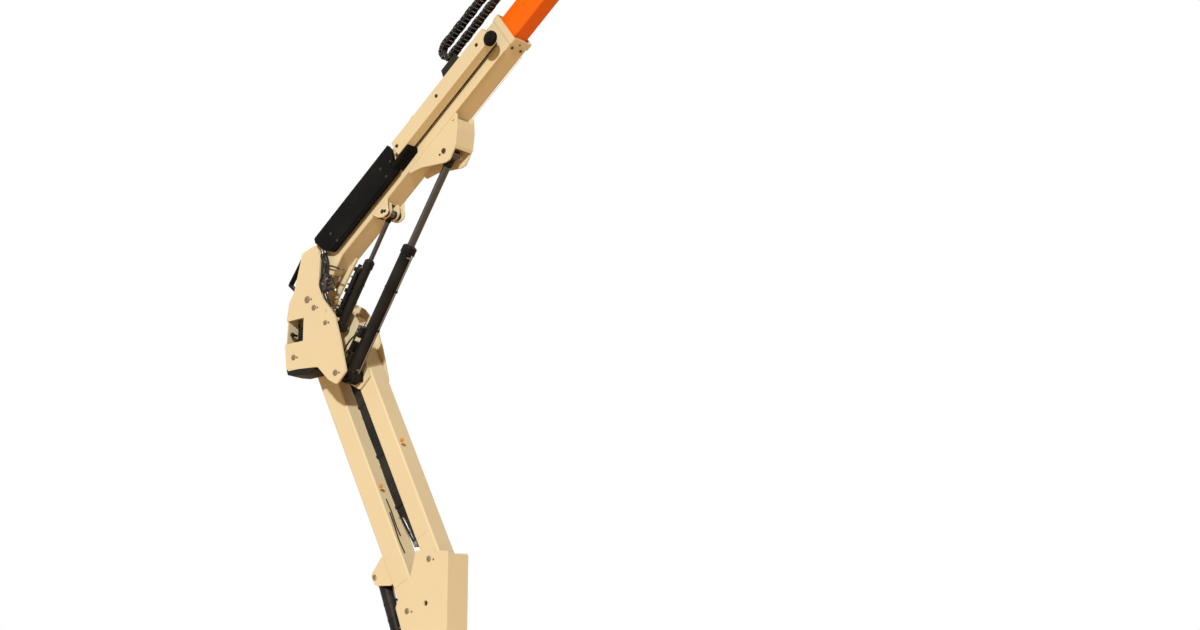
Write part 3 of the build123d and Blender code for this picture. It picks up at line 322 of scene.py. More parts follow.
amber_lens = new_finish("amber_lens", "e07a10", 0.15, specular=0.6, rub=0.0, dust=0.15, ripple=0.3, ripple_scale=90.0)
blank_plate = new_finish("blank_plate", "c9c6bd", 0.4, specular=0.4, rub=0.15, dust=0.3)
print("finishes", len(bpy.data.materials))

# %% [markdown]
# ## Dressing the CAD pieces
#
# A CAD piece whose shape is right stays as it is, and only gets its finish. A narrow bevel on its edges lets
# them catch the light, as real flame-cut and folded plates do.

# %% Finishes by node
finish_of = {
    cream_paint: (
        "upper_riser_rear upper_riser_front upper_upright mid_upright boom_base hose_tray lower_riser "
        "lower_links jib_base tower_base channel_wall_left channel_wall_right "
        "rim_drive_left rim_drive_right rim_steer_left rim_steer_right"
    ),
    orange_paint: "fly_boom jib_arm jib_links jib_head hood_left hood_right",
    grey_paint: "chassis_frame turntable_deck platform_mount platform_frame platform_gate",
    black_paint: (
        "lift_barrel master_barrel tower_barrel slave_barrel jib_barrel upright_guard "
        "steer_axle drive_axle knuckle_left knuckle_right engine_block"
    ),
    black_plastic: "ground_console platform_console powertrack tray_cap",
    cover_plastic: "boom_cover",
    chromed_rod: "lift_rod master_rod tower_rod slave_rod jib_rod",
    bright_steel: "swing_bearing upright_pins",
    cast_weight: "counterweight",
    tyre_rubber: "tyre_drive_left tyre_drive_right tyre_steer_left tyre_steer_right",
    hose_rubber: "riser_hoses",
}
for finish, names in finish_of.items():
    for name in names.split():
        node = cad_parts[name]
        node.data.materials.clear()
        node.data.materials.append(finish)
print("nodes without a finish", [name for name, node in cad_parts.items() if len(node.data.materials) != 1])

# %% [markdown]
# ## Tools for the small parts
#
# Bolts, hoses, links and caps are drawn as plain lists of corners, in millimetres, and only turned into
# metres when a piece is finished. A *place* is a set of axes laid on a beam: X runs along it, Z across it.
# One piece may hold many bolts or many hoses, so the machine stays light.

# %% Places on the machine
LEVEL = Matrix.Identity(4)
NEAR = (0, -1, 0)
FAR = (0, 1, 0)
UP = (0, 0, 1)
ALONG = (1, 0, 0)
SIDES = ((-1, "right", NEAR), (1, "left", FAR))


def beam_place(x, z, degrees):
    """Axes on a beam that starts at x and z and climbs at this angle."""
    return Matrix.Translation((x, 0, z)) @ Matrix.Rotation(math.radians(-degrees), 4, "Y")


boom_y = -240
boom = beam_place(-758.2, 7091.9, 36.87)
rear_riser = beam_place(420, 3950, 117.6)
front_riser = beam_place(690, 4414, 117.6)
lower_beam = beam_place(-791, 1126.4, 62.4)
jib = beam_place(3611.8, 10371.9, 15)
print("boom tip at", [round(value) for value in boom @ Vector((5200, boom_y, 150))])

# %% [markdown]
# ### Shapes that become one piece
#
# Nearly every small part is a skin over a row of rings: a block has two rings of four corners, a bolt's head two
# of six, a hose many round ones. So one method joins rings, and the others only say where the rings lie. The
# last one, `piece`, hands the shapes to Blender as an object that rides on a body of the machine.

# %% Rings, outlines and paths


def circle(centre, side, up, radius, sides):
    """A ring of points round a centre, in the plane of two directions."""
    turns = [math.tau * step / sides for step in range(sides)]
    return [centre + (side * math.cos(turn) + up * math.sin(turn)) * radius for turn in turns]


def turned_rings(start, axis, profile, sides):
    """Rings of a turned part, from (distance along its axis, radius) pairs."""
    along = Vector(axis).normalized()
    side = along.orthogonal().normalized()
    up = along.cross(side)
    return [circle(Vector(start) + along * distance, side, up, radius, sides) for distance, radius in profile]


def rounded(x, z, half_x, half_z, radius, steps=4):
    """The outline of a rectangle with round corners."""
    outline = []
    for turn, sign_x, sign_z in ((0, 1, 1), (90, -1, 1), (180, -1, -1), (270, 1, -1)):
        for step in range(steps + 1):
            angle = math.radians(turn + 90 * step / steps)
            corner_x = x + sign_x * (half_x - radius)
            corner_z = z + sign_z * (half_z - radius)
            outline.append((corner_x + radius * math.cos(angle), corner_z + radius * math.sin(angle)))
    return outline


def smooth_path(points, steps):
    """A smooth run of points through the ones given."""
    given = [Vector(point) for point in points]
    ends = [given[0] * 2 - given[1], *given, given[-1] * 2 - given[-2]]
    path = []
    for before, start, end, after in zip(ends, ends[1:], ends[2:], ends[3:]):
        for step in range(steps):
            share = step / steps
            pull = (end - before) * share
            curve = (before * 2 - start * 5 + end * 4 - after) * share**2
            twist = (start * 3 - before - end * 3 + after) * share**3
            path.append((start * 2 + pull + curve + twist) / 2)
    path.append(given[-1])
    return path


print("a smooth path of", len(smooth_path([(0, 0, 0), (1, 0, 0), (1, 1, 0)], 4)), "points from 3")


# %% A collection of shapes
slot_of = {
    cover_plastic: "black_plastic",
    dark_steel: "black_paint",
    pin_steel: "bright_steel",
    shaded_cream_boss: "cream_paint",
    red_plastic: "black_plastic",
    yellow_plastic: "black_plastic",
    amber_lens: "black_plastic",
    blank_plate: "black_plastic",
}


class Shapes:
    """Shapes that share a place and will be one piece."""

    def __init__(self, place=LEVEL):
        self.place = place
        self.bm = bmesh.new()

    def rings(self, loops, place=None, closed=False):
        """Joins rings of corners into a skin. A skin that doesn't close on itself gets its two ends."""
        place = self.place if place is None else place
        made = [[self.bm.verts.new(place @ Vector(point)) for point in loop] for loop in loops]
        for first, second in zip(made, made[1:] + made[:1] if closed else made[1:]):
            for step, corner in enumerate(first):
                after = (step + 1) % len(first)
                self.bm.faces.new((corner, first[after], second[after], second[step]))
        if not closed:
            self.bm.faces.new(made[0][::-1])
            self.bm.faces.new(made[-1])

    def plate(self, outline, y_one, y_two, place=None):
        """A flat plate with its outline in X and Z."""
        self.rings([[(x, y, z) for x, z in outline] for y in sorted((y_one, y_two))], place)

    def box(self, one, other, place=None):
        """A block between two opposite corners."""
        (x_low, x_high), (y_low, y_high), (z_low, z_high) = map(sorted, zip(one, other))
        self.plate([(x_low, z_low), (x_high, z_low), (x_high, z_high), (x_low, z_high)], y_low, y_high, place)

    def turned(self, start, axis, profile, sides=24, place=None):
        """A turned part from (distance along its axis, radius) pairs, closed at both ends."""
        self.rings(turned_rings(start, axis, profile, sides), place)

    def band(self, profile, inner, sides=32):
        """A turned ring round the place's X axis: its outer profile, and the radius of its bore."""
        profile = [*profile, (profile[-1][0], inner), (profile[0][0], inner)]
        self.rings(turned_rings((0, 0, 0), ALONG, profile, sides), closed=True)

    def fitting(self, point, axis, nut, sleeve):
        """A hose's screwed fitting: a nut and a round sleeve, each (start, end, radius) along an axis."""
        for (start, end, radius), sides in ((nut, 6), (sleeve, 10)):
            self.turned(point, axis, [(start, radius), (end, radius)], sides)

    def bolt(self, point, axis, size):
        """A washer with a six-sided head on it; size is half of the width over corners."""
        start = Vector(point)
        way = Vector(axis).normalized()
        self.turned(start - way * 2, way, [(0, size * 1.35), (2 + size * 0.22, size * 1.35)], 16)
        head = start + way * size * 0.2
        self.turned(head, way, [(0, size), (size * 0.62, size), (size * 0.78, size * 0.86)], 6)
        self.turned(head + way * size * 0.7, way, [(0, size * 0.5), (size * 0.28, size * 0.44)], 10)

    def cap(self, point, axis, radius, height=14):
        """A pin's end: a dished cap with a grease nipple in its middle."""
        dish = [(-6, radius), (height * 0.6, radius), (height, radius * 0.82), (height, radius * 0.5)]
        self.turned(point, axis, dish)
        nipple = [(height - 2, 7), (height + 4, 7), (height + 5, 4), (height + 12, 4), (height + 14, 2.5)]
        self.turned(point, axis, nipple, 8)

    def bead(self, start, end, radius=4.5, pitch=9):
        """A weld: a low string of overlapping swells from one point to another."""
        way = Vector(end) - Vector(start)
        count = max(3, int(way.length / pitch))
        profile = [(way.length * step / count, radius * (0.8 + 0.25 * (step % 2))) for step in range(count + 1)]
        self.turned(start, way, profile, 6)

    def tube(self, points, radius, sides=10, steps=6):
        """A round tube of one thickness along a smooth path."""
        path = smooth_path(points, steps)
        side = (path[1] - path[0]).orthogonal().normalized()
        loops = []
        for index, centre in enumerate(path):
            way = (path[min(index + 1, len(path) - 1)] - path[max(index - 1, 0)]).normalized()
            side = (side - way * side.dot(way)).normalized()
            loops.append(circle(centre, side, way.cross(side), radius, sides))
        self.rings(loops)

    def piece(self, name, finish, body, edge=0.0, replaces=(), slot=None):
        """Turns the shapes into one piece that rides on a body."""
        bmesh.ops.recalc_face_normals(self.bm, faces=self.bm.faces)
        bmesh.ops.scale(self.bm, vec=(0.001, 0.001, 0.001), verts=self.bm.verts)
        mesh = bpy.data.meshes.new(name)
        self.bm.to_mesh(mesh)
        self.bm.free()
        mesh.materials.append(finish)
        mesh.shade_smooth()
        mesh.set_sharp_from_angle(angle=math.radians(38))
        piece = bpy.data.objects.new(name, mesh)
        bpy.context.scene.collection.objects.link(piece)
        if edge:
            soften = piece.modifiers.new("soft_edges", "BEVEL")
            soften.width = edge / 1000
            soften.segments = 2
            soften.limit_method = "ANGLE"
            soften.angle_limit = math.radians(40)
        slot = slot or slot_of.get(finish, finish.name.split(".")[0])
        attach(piece, body)
        if replaces:
            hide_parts(*replaces)


print("finishes that share another's slot", len(slot_of))


# %% Tread and hoses
def oblong(half_x, half_y, z):
    """The four corners of a level rectangle about the Z axis."""
    return [(x * half_x, y * half_y, z) for x, y in ((-1, -1), (1, -1), (1, 1), (-1, 1))]


def add_tread(name, body, start, counts, pitches, foot, top):
    """A piece of raised tread: rows of short ridges, each turned across the one beside it."""
    tread = Shapes()
    for row in range(counts[0]):
        for column in range(counts[1]):
            lean = math.radians(45 if (row + column) % 2 else -45)
            spot = (start[0] + row * pitches[0], start[1] + column * pitches[1], start[2])
            place = Matrix.Translation(spot) @ Matrix.Rotation(lean, 4, "Z")
            tread.rings((oblong(*foot), oblong(*top)), place)
    tread.piece(name, grey_paint, body)


class Hoses:
    """Hoses that share a place: the rubber makes one piece, and the steel at their ends another."""

    def __init__(self, place=LEVEL):
        self.rubber = Shapes(place)
        self.steel = Shapes(place)

    def add(self, points, radius):
        """A hose with a crimped sleeve and a nut at each of its ends."""
        self.rubber.tube(points, radius)
        for end, inner in ((points[0], points[1]), (points[-1], points[-2])):
            way = Vector(inner) - Vector(end)
            self.steel.turned(end, way, [(-2, radius * 1.25), (26, radius * 1.25), (30, radius * 1.05)], 12)
            self.steel.turned(end, way, [(-22, radius * 0.9), (-6, radius * 0.9)], 10)
            self.steel.turned(end, way, [(-14, radius * 1.45), (-2, radius * 1.45)], 6)

    def pieces(self, rubber_name, steel_name, body, replaces=()):
        """Turns the hoses into their two pieces."""
        self.rubber.piece(rubber_name, hose_rubber, body, replaces=replaces)
        self.steel.piece(steel_name, bright_steel, body)


print("a ridge's foot", oblong(14, 3.5, -2))
# %% [markdown]
# ## The main boom's cover, tray and cap
#
# A moulded black cover hides the valves on the boom's near side. Its lower edge rises away from the boom's
# corner, and a narrow step of it carries on under the folded tray that leads the hoses forwards. The tray
# stands off the boom on short brackets, and three black hoses laid in the gap between the two are painted
# shade that keeps the gap dark.

# %% Boom cover
cover_outline = [
    (420, 466), (400, 418), (438, 286), (512, 164), (544, 144), (1612, 138),
    (1636, 150), (1622, 261), (1688, 391), (1678, 468),
]
shapes = Shapes(boom)
shapes.plate(cover_outline, -440, -402)
shapes.plate([(532, 172), (1586, 168), (1600, 440), (470, 438)], -446, -438)
shapes.box((760, -404, 180), (820, -360, 300))
shapes.box((1500, -404, 180), (1560, -360, 300))
shapes.plate([(1640, 150), (1880, 158), (1905, 201), (1640, 201)], -500, -362)
shapes.piece("boom_side_cover", cover_plastic, "boom_base", 5, ["boom_cover"])

shapes = Shapes(boom)
for along, across in ((1477, 332), (1487, 208), (1612, 292), (615, 318), (641, 190)):
    shapes.turned((along, -444, across), NEAR, [(-4, 15), (2, 15), (3, 9), (8, 9), (10, 6)], 16)
shapes.piece("cover_bolts", dark_steel, "boom_base")
print("cover bolts", 5)

# %% Hose tray and cap
shapes = Shapes(boom)
shapes.plate([(1760, 201), (3245, 201), (3245, 371), (1760, 371)], -510, -402)
for along in (1850, 2480, 3060):
    shapes.box((along, -404, 232), (along + 60, -358, 340))
shapes.plate([(2040, 371), (2062, 420), (2102, 420), (2124, 371)], -470, -400)
shapes.turned((2082, -472, 392), NEAR, [(-4, 15), (6, 15)], 16)
shapes.piece("boom_hose_tray", cream_paint, "boom_base", 5, ["hose_tray"])

# Painted shade: three black hoses fill the gap between the tray and the boom, so that the gap reads dark.
shapes = Shapes(boom)
for y, across in ((-390, 218), (-374, 240), (-390, 262)):
    shapes.tube([(1700, y, across), (2200, y, across + 3), (2700, y, across), (3222, y, across)], 13, 10, 5)
shapes.piece("gap_shade_hoses", hose_rubber, "boom_base")

shapes = Shapes(boom)
cap_profile = [(0, 40), (3, 58), (10, 70), (20, 76), (46, 76), (48, 70), (52, 70)]
shapes.turned((3261, -560, 178), FAR, cap_profile, 14)
shapes.turned((3261, -566, 178), FAR, [(0, 26), (8, 32)], 14)
shapes.box((3200, -512, 206), (3244, -404, 232))
shapes.piece("tray_end_cap", cover_plastic, "boom_base", 3, ["tray_cap"])

shapes = Shapes(boom)
for along, across in ((3098, 286), (1800, 286), (2450, 286)):
    shapes.bolt((along, -510, across), NEAR, 14)
for along, y in ((3290, -300), (3350, -250), (3290, -180)):
    shapes.bolt((along, y, 99), (0, 0, -1), 11)
shapes.piece("boom_bolts", dark_steel, "boom_base")
print("tray", 3245 - 1760, "mm long")

# %% [markdown]
# ## The hose track
#
# The hoses to the platform lie in a chain of links that rolls over itself as the boom extends; here the chain
# is drawn in one shape that rides on the fly boom. Each link is a pair of side plates joined by bars, and the
# next pair sits a plate's thickness further in, so the links can turn. The hoses run through the middle and
# show between the bars.

# %% Track links
track_pitch = 92
track_bend = (2807, 599)
track_turn = 78


def add_link(along, across, degrees, depth, nested):
    """One link about its middle: two side plates, and two bars between them."""
    spot = boom @ Matrix.Translation((along, 0, across)) @ Matrix.Rotation(math.radians(-degrees), 4, "Y")
    inset = 5 if nested else 0
    for y_low in (-488 + inset, -415 - inset):
        plates.plate(rounded(0, 0, 54, depth, min(depth, 22), 3), y_low, y_low + 5, spot)
    for x in (-24, 24):
        for z in (-depth + 7, depth - 7):
            bars.turned((x, -486, z), FAR, [(0, 5), (74, 5)], 6, spot)
        bars.turned((x, -494, 0), FAR, [(0, 7), (8, 7)], 8, spot)


plates = Shapes(boom)
bars = Shapes()
link_rows = 24
for index in range(link_rows):
    along = track_bend[0] + track_pitch * (index + 0.5)
    add_link(along, 677, 0, 29, index % 2)
    add_link(along, 521, 0, 24, index % 2)
for degrees in (30, 90, 150):
    turn = math.radians(degrees + 90)
    along = track_bend[0] + track_turn * math.cos(turn)
    across = track_bend[1] + track_turn * math.sin(turn)
    add_link(along, across, degrees + 180, 27, 1)
plates.box((4960, -488, 440), (5028, -332, 446))
plates.box((4960, -420, 440), (5028, -404, 706))
plates.piece("track_links", black_plastic, "fly_boom", replaces=["powertrack"])
bars.piece("track_bars", bright_steel, "fly_boom", slot="black_plastic")

rest = Shapes(boom)
rest.plate([(2600, 371), (2850, 371), (2836, 476), (2630, 476)], -484, -412)
rest.piece("track_rest", black_plastic, "boom_base", 3)

shapes = Shapes(boom)
for y in (-472, -450, -428):
    loop = [(5030, y, 677), (4000, y, 680), (2900, y, 676)]
    for degrees in range(90, 271, 30):
        turn = math.radians(degrees)
        loop.append((track_bend[0] + 76 * math.cos(turn), y, track_bend[1] + 76 * math.sin(turn)))
    loop += [(2900, y, 521), (4000, y, 518), (5030, y, 521)]
    shapes.tube(loop, 10, 8, 4)
shapes.piece("track_hoses", hose_rubber, "fly_boom")
print("track links", link_rows * 2 + 3)

# %% [markdown]
# ## Brackets on the boom
#
# The master cylinder pushes on a cross tube held by two cheeks that carry on from the boom's side walls. The
# pins of both brackets have caps, with a small bolt beside each on the near side.

# %% Cylinder brackets
shapes = Shapes(boom)
cheek = [(1078, 112), (1128, 20), (1168, -14), (1226, -30), (1262, -8), (1282, 40), (1330, 112)]
for y_low in (-362, -136):
    shapes.plate(cheek, y_low, y_low + 18)
shapes.piece("master_cheeks", cream_paint, "boom_base", 4)

shapes = Shapes(boom)
for y in (-344, -207):
    shapes.turned((1198, y, 36), FAR, [(0, 38), (3, 41), (66, 41), (70, 38)], 24)
shapes.piece("master_cross_tube", black_paint, "boom_base")

shapes = Shapes(boom)
shapes.bolt((1226, -362, 13), NEAR, 12)
shapes.cap((1198, -362, 36), NEAR, 22, 6)
shapes.cap((2122, -366, -105), NEAR, 27, 8)
shapes.bolt((2062, -362, -92), NEAR, 8)
shapes.cap((2122, -114, -105), FAR, 27, 8)
shapes.piece("bracket_pins", dark_steel, "boom_base")
print("bracket pins", 3)
# %% [markdown]
# ## Cylinders
#
# Each hydraulic cylinder gets what a bare tube lacks: a screwed gland with a wiper seal where the rod comes
# out, weld rings, a port at each end, and a hard pipe that feeds the far port. The lift and master rods' eyes
# have a welded sleeve. The barrel's parts ride on the barrel and the rod's on the rod.

# %% Cylinder dressing
cylinder_table = {
    # name: (base x, z), (tip x, z), y, barrel length, barrel radius, rod radius, side of the pipe
    "lift": ((-321.2, 6283.9), (1002.4, 8281.1), boom_y, 1400, 66, 38, -1),
    "master": ((-486.2, 6811.9), (178.6, 7839.5), boom_y, 710, 45, 24, 1),
    "tower": ((-43, 4310), (390, 3230), 0, 655, 66, 36, 1),
    "jib": ((3605.5, 10222), (4310.4, 10403.7), boom_y, 480, 32, 20, -1),
}


def cylinder_place(base, tip, y):
    """Axes at a cylinder's base pin, with X towards the rod's pin, and the distance between the pins."""
    rise = math.degrees(math.atan2(tip[1] - base[1], tip[0] - base[0]))
    reach = math.hypot(tip[0] - base[0], tip[1] - base[1])
    return beam_place(*base, rise) @ Matrix.Translation((0, y, 0)), reach


for name, (base, tip, y, length, radius, rod, side) in cylinder_table.items():
    place, reach = cylinder_place(base, tip, y)
    black = Shapes(place)
    collar = [(length - 74, radius + 3), (length - 70, radius + 8), (length - 50, radius + 8), (length - 46, radius)]
    black.band(collar, radius - 4)
    lip = 20 if name in ("lift", "master") else 6
    gland = [(length - 2, radius + 2), (length + lip * 0.3, radius), (length + lip, rod + 5)]
    black.band(gland, rod + 1)
    eye = radius * 0.75
    black.band([(eye, radius + 1), (eye + 8, radius + 5), (eye + 16, radius)], radius - 4)
    pipe_side = side * (radius + 13)
    low, high = eye + 46, length - 96
    for spot in (low, high):
        black.turned((spot, 0, side * (radius - 5)), (0, 0, side), [(0, 15), (15, 15), (19, 12)], 12)
        black.box((spot - 16, -12, side * (radius - 5)), (spot + 16, 12, pipe_side))
    for share in (0.35, 0.7):
        spot = low + (high - low) * share
        black.band([(spot, radius + 2.5), (spot + 22, radius + 2.5)], radius - 4)
        black.box((spot, -13, side * (radius - 5)), (spot + 22, 13, pipe_side + side * 12))
    black.piece(f"{name}_gland", black_paint, f"{name}_barrel")
    metal = Shapes(place)
    pipe = [(low, 0, side * radius), (low + 14, 0, pipe_side), ((low + high) / 2, 0, pipe_side)]
    pipe += [(high - 14, 0, pipe_side), (high, 0, side * radius)]
    metal.tube(pipe, 7, 10, 5)
    for spot in (low, high):
        metal.fitting((spot, -8, side * (radius + 4)), NEAR, (0, 16, 12), (14, 32, 8))
    metal.piece(f"{name}_pipe", bright_steel, f"{name}_barrel")
    if name in ("tower", "jib"):
        continue
    black = Shapes(place)
    sleeve = [(reach - rod * 3.6, rod * 1.02), (reach - rod * 3.5, rod * 1.22), (reach - rod * 1.2, rod * 1.26)]
    black.band(sleeve, rod - 1, 28)
    black.piece(f"{name}_rod_sleeve", black_paint, f"{name}_rod")
print("cylinders dressed", list(cylinder_table))

# %% Master cylinder's side tubes
place, reach = cylinder_place(*cylinder_table["master"][:3])
black = Shapes(place)
metal = Shapes(place)
for y, z in ((-30, 74), (26, 66)):
    black.turned((0, y, z), ALONG, [(70, 22), (76, 26), (600, 26), (610, 20), (640, 20)], 20)
for spot in (110, 330, 560):
    black.box((spot, -62, 20), (spot + 40, 56, 104))
for spot, y in ((180, -58), (250, -58), (420, -60), (500, -58), (150, 0), (380, 0)):
    metal.fitting((spot, y, 74), NEAR, (-10, 8, 13), (8, 24, 8))
black.piece("master_side_tubes", black_paint, "master_barrel", 2)
metal.piece("master_side_fittings", bright_steel, "master_barrel")
print("side tubes", 2)

# %% Lift cylinder's valve block
place, reach = cylinder_place(*cylinder_table["lift"][:3])
black = Shapes(place)
hoses = Hoses(place)
black.box((60, -52, 60), (330, 52, 118))
black.box((110, -104, 10), (230, -60, 96))
black.box((390, -62, 58), (500, 50, 104))
black.box((390, -104, 24), (500, -60, 96))
for spot in (438, 480):
    hoses.steel.fitting((spot, -102, 62), NEAR, (-6, 12, 16), (10, 26, 9))
for spot in (90, 160, 230, 300):
    hoses.steel.fitting((spot, -30, 116), UP, (0, 14, 13), (12, 28, 8))
for spot in (130, 175, 215):
    hoses.steel.turned((spot, -102, 60), NEAR, [(0, 12), (12, 12)], 6)
hoses.add([(130, -116, 60), (200, -150, 80), (320, -120, 100), (420, -60, 100), (470, -20, 92)], 9)
hoses.add([(175, -116, 60), (280, -134, 40), (400, -110, 60), (520, -60, 76)], 9)
black.piece("lift_valve_block", black_paint, "lift_barrel", 3)
hoses.steel.piece("lift_valve_fittings", bright_steel, "lift_barrel")
hoses.rubber.piece("lift_valve_hoses", hose_rubber, "lift_barrel")
print("valve block hoses", 2)

# %% [markdown]
# ## The upper upright
#
# Pins end in dished caps with grease nipples, each kept by one small bolt. Hoses climb the plate's front
# edge, loop across to the master cylinder and feed a valve block between the plates. The window in the near
# plate has a hose and a plastic plug behind it.

# %% Upright pins and bolts
shapes = Shapes()
caps = (
    (-758.2, 7091.9, 33), (-658.2, 6992.9, 26), (-928.2, 6528.9, 26), (-486.2, 6811.9, 22), (-321.2, 6283.9, 28),
)
for x, z, radius in caps:
    shapes.cap((x, -455, z), NEAR, radius, 8)
    shapes.bolt((x + radius + 24, -452, z - 6), NEAR, 8)
for x, z in ((-930, 6528.9), (-658, 6992.9)):
    shapes.cap((x, 140, z), FAR, 26, 8)
shapes.piece("upright_caps", pin_steel, "upper_upright")

shapes = Shapes()
shapes.turned((-999, -430, 6778), FAR, [(0, 14), (6, 22), (30, 22), (32, 12), (80, 12)], 14)
shapes.box((-1010, -330, 6700), (-870, -230, 6860))
# A black block runs under the near plate's bottom edge and along its notch.
shapes.plate([(-1036, 6424), (-1012, 6362), (-892, 6338), (-705, 6340), (-640, 6372), (-640, 6424)], -446, -250)
shapes.box((-400, -345, 6236), (-250, -318, 6330))
shapes.box((-400, -162, 6236), (-250, -142, 6330))
shapes.piece("upright_black_parts", black_plastic, "upper_upright", 3)
print("pin caps", len(caps) + 2)

# %% Upright valve block
hoses = Hoses()
block = Shapes()
block.box((-600, -432, 7150), (-520, -376, 7330))
for z in (7180, 7220, 7260, 7300):
    block.turned((-524, -398, z), ALONG, [(0, 15), (30, 15), (34, 11), (52, 11)], 12)
block.piece("upright_valves", dark_steel, "upper_upright", 3)
climb = [(-600, 7560), (-552, 7440), (-556, 7330), (-584, 7240), (-560, 7120), (-508, 7019), (-470, 6930)]
for shift, y in ((-10, -438), (8, -424), (-4, -408), (16, -396), (30, -412)):
    hoses.add([(x + shift, y, z + shift * 0.4) for x, z in climb], 10)
loops = (
    [(-560, -424, 7455), (-500, -424, 7405), (-428, -423, 7379), (-360, -421, 7350), (-300, -418, 7330)],
    [(-579, -424, 7232), (-520, -424, 7178), (-460, -423, 7150), (-395, -421, 7150), (-352, -419, 7190),
     (-334, -418, 7236)],
    [(-520, -424, 7260), (-470, -424, 7290), (-430, -423, 7250), (-405, -421, 7190), (-392, -418, 7140)],
)
for loop in loops:
    hoses.add(loop, 8.5)
hoses.add([(-1021, -300, 6937), (-1010, -310, 6880), (-950, -320, 6830), (-880, -310, 6850)], 11)
hoses.pieces("upright_hoses", "upright_fittings", "upper_upright")
print("upright hoses", len(loops) + 6)

# %% [markdown]
# ## Risers and the middle upright
#
# A bundle of nine hoses runs up the front riser's rear face. They are held by clamps, and bow a little
# between them. Plates are welded to the tubes with a raised bead, and the pins have the same caps as above.

# %% Riser hoses
hoses = Hoses(front_riser)
clamps = Shapes(front_riser)
hose_rows = (
    (-92, 15), (-92, 38), (-92, 61), (-92, 84), (-64, 15), (-64, 38), (-64, 61), (-36, 15), (-8, 15),
)
hose_face = 92
clamp_spots = (700, 1290, 1880, 2470)
for index, (y, across) in enumerate(hose_rows):
    bow = 3 + (index * 7) % 5
    foot = (250, 400, 520)[index % 3]
    run = [(foot, y + 6, hose_face + 20 + across * 0.3), (620, y, hose_face + across)]
    for first, second in zip(clamp_spots, clamp_spots[1:]):
        run.append((first, y, hose_face + across))
        run.append(((first + second) / 2, y + (index % 3 - 1) * 4, hose_face + across + bow))
    run += [(clamp_spots[-1], y, hose_face + across), (2575, y, hose_face + across)]
    hoses.add(run, 11)
for spot in clamp_spots:
    clamps.box((spot - 18, -108, hose_face - 2), (spot + 18, -50, hose_face + 99))
    clamps.box((spot - 18, -52, hose_face - 2), (spot + 18, 8, hose_face + 30))
    clamps.bolt((spot, -78, hose_face + 98), UP, 7)
hoses.pieces("riser_hose_run", "riser_hose_ends", "upper_riser_front", ["riser_hoses"])
clamps.piece("riser_clamps", black_plastic, "upper_riser_front", 2)
print("riser hoses", len(hose_rows))

# %% Riser bosses and welds
# The bosses take cream paint coloured orange-brown as painted shade.
boss = [(-4, 20), (5, 20), (6, 13), (16, 13), (18, 9)]
shapes = Shapes()
for x, z in ((270, 5596), (-267, 6243)):
    shapes.turned((x, -110, z), NEAR, boss, 16)
shapes.piece("riser_bosses", shaded_cream_boss, "upper_riser_front")

shapes = Shapes()
shapes.turned((0, -110, 5182), NEAR, boss, 16)
shapes.piece("rear_riser_boss", shaded_cream_boss, "upper_riser_rear")

for name, place, ends, low, high in (
    ("front", front_riser, (270, 2640), -70, 60),
    ("rear", rear_riser, (296, 2614), -100, 70),
):
    beads = Shapes(place)
    for y in (-111, 111):
        for end in ends:
            beads.bead((end, y, low), (end, y, high))
    beads.piece(f"{name}_riser_welds", cream_paint, f"upper_riser_{name}")
print("risers with beads at their ends", 2)

# %% Middle upright caps and wires
shapes = Shapes()
for side, y in ((NEAR, -141), (FAR, 141)):
    for x, z in ((420, 3950), (690, 4414)):
        shapes.cap((x, y, z), side, 27, 10)
        shapes.bolt((x + 54, y + side[1] * -5, z - 10), side, 8)
for side, y in ((NEAR, -200), (FAR, 200)):
    for x, z in ((497, 3590), (657, 3430)):
        shapes.cap((x, y, z), side, 27, 6)
for side, y in ((NEAR, -135), (FAR, 135)):
    shapes.bolt((870, y, 3300), side, 9)
shapes.piece("middle_caps", pin_steel, "mid_upright")

shapes = Shapes()
for side, y in ((NEAR, -126), (FAR, 126)):
    shapes.cap((-43, y, 4310), side, 24, 6)
shapes.piece("tower_ear_caps", pin_steel, "upper_riser_rear")

wires = Shapes(rear_riser)
wires.tube([(560, -60, -148), (700, -74, -149), (860, -66, -149), (1020, -60, -148)], 6, 8, 5)
wires.tube([(760, -30, -148), (900, -40, -149), (1040, -34, -149), (1180, -40, -148)], 6, 8, 5)
wires.piece("riser_wires", hose_rubber, "upper_riser_rear")
print("middle upright caps", 8)

# %% [markdown]
# ## Wheels
#
# Each tyre is turned from its section, with the tread a little below full height. The lugs are laid round it
# in two rows, slanted like chevrons, and reach the tyre's full radius. The steel wheel keeps its CAD shape and
# gets nuts and a hub cover.

# %% Tyre shapes
wheel_height = 419
wheel_middle = 1017.5
tyre_profile = [
    (-120, 250), (-130, 262), (-144, 290), (-151, 322), (-152, 350), (-146, 376), (-130, 393), (-105, 399),
    (105, 399), (130, 393), (146, 376), (152, 350), (151, 322), (144, 290), (130, 262), (120, 250),
]


def wheel_point(x, y, degrees, radius):
    """A point round a wheel's axle."""
    turn = math.radians(degrees)
    return (x + radius * math.cos(turn), y, wheel_height + radius * math.sin(turn))


def wheel_patch(x, y, degrees, width, low, high):
    """Four points of a patch on a wheel's side: its start and width in degrees, and two radii."""
    corners = ((0, low), (width, low), (width, high), (0, high))
    return [wheel_point(x, y, degrees + turn, radius) for turn, radius in corners]


def add_lug(rubber, x, y, side, degrees):
    """One slanted tread lug, in two parts: along the tread, then down the shoulder."""
    spans = ((4, 0, 419, 4.2), (112, 9, 418, 5.2), (147, 11.5, 392, 5.6), (150, 12.5, 362, 5.2))
    for first, second in zip(spans, spans[1:]):
        corners = []
        for inset, shrink in ((24, 0.0), (0, 0.9)):
            for across, lean, radius, half in (first, second):
                for sign in (-1, 1):
                    around = degrees + lean + sign * (half - shrink)
                    corners.append(wheel_point(x, y + side * across, around, radius - inset))
        rubber.rings([[corners[row + turn] for turn in (0, 1, 3, 2)] for row in (0, 4)])


print("tyre width", 2 * max(across for across, _ in tyre_profile), "mm")

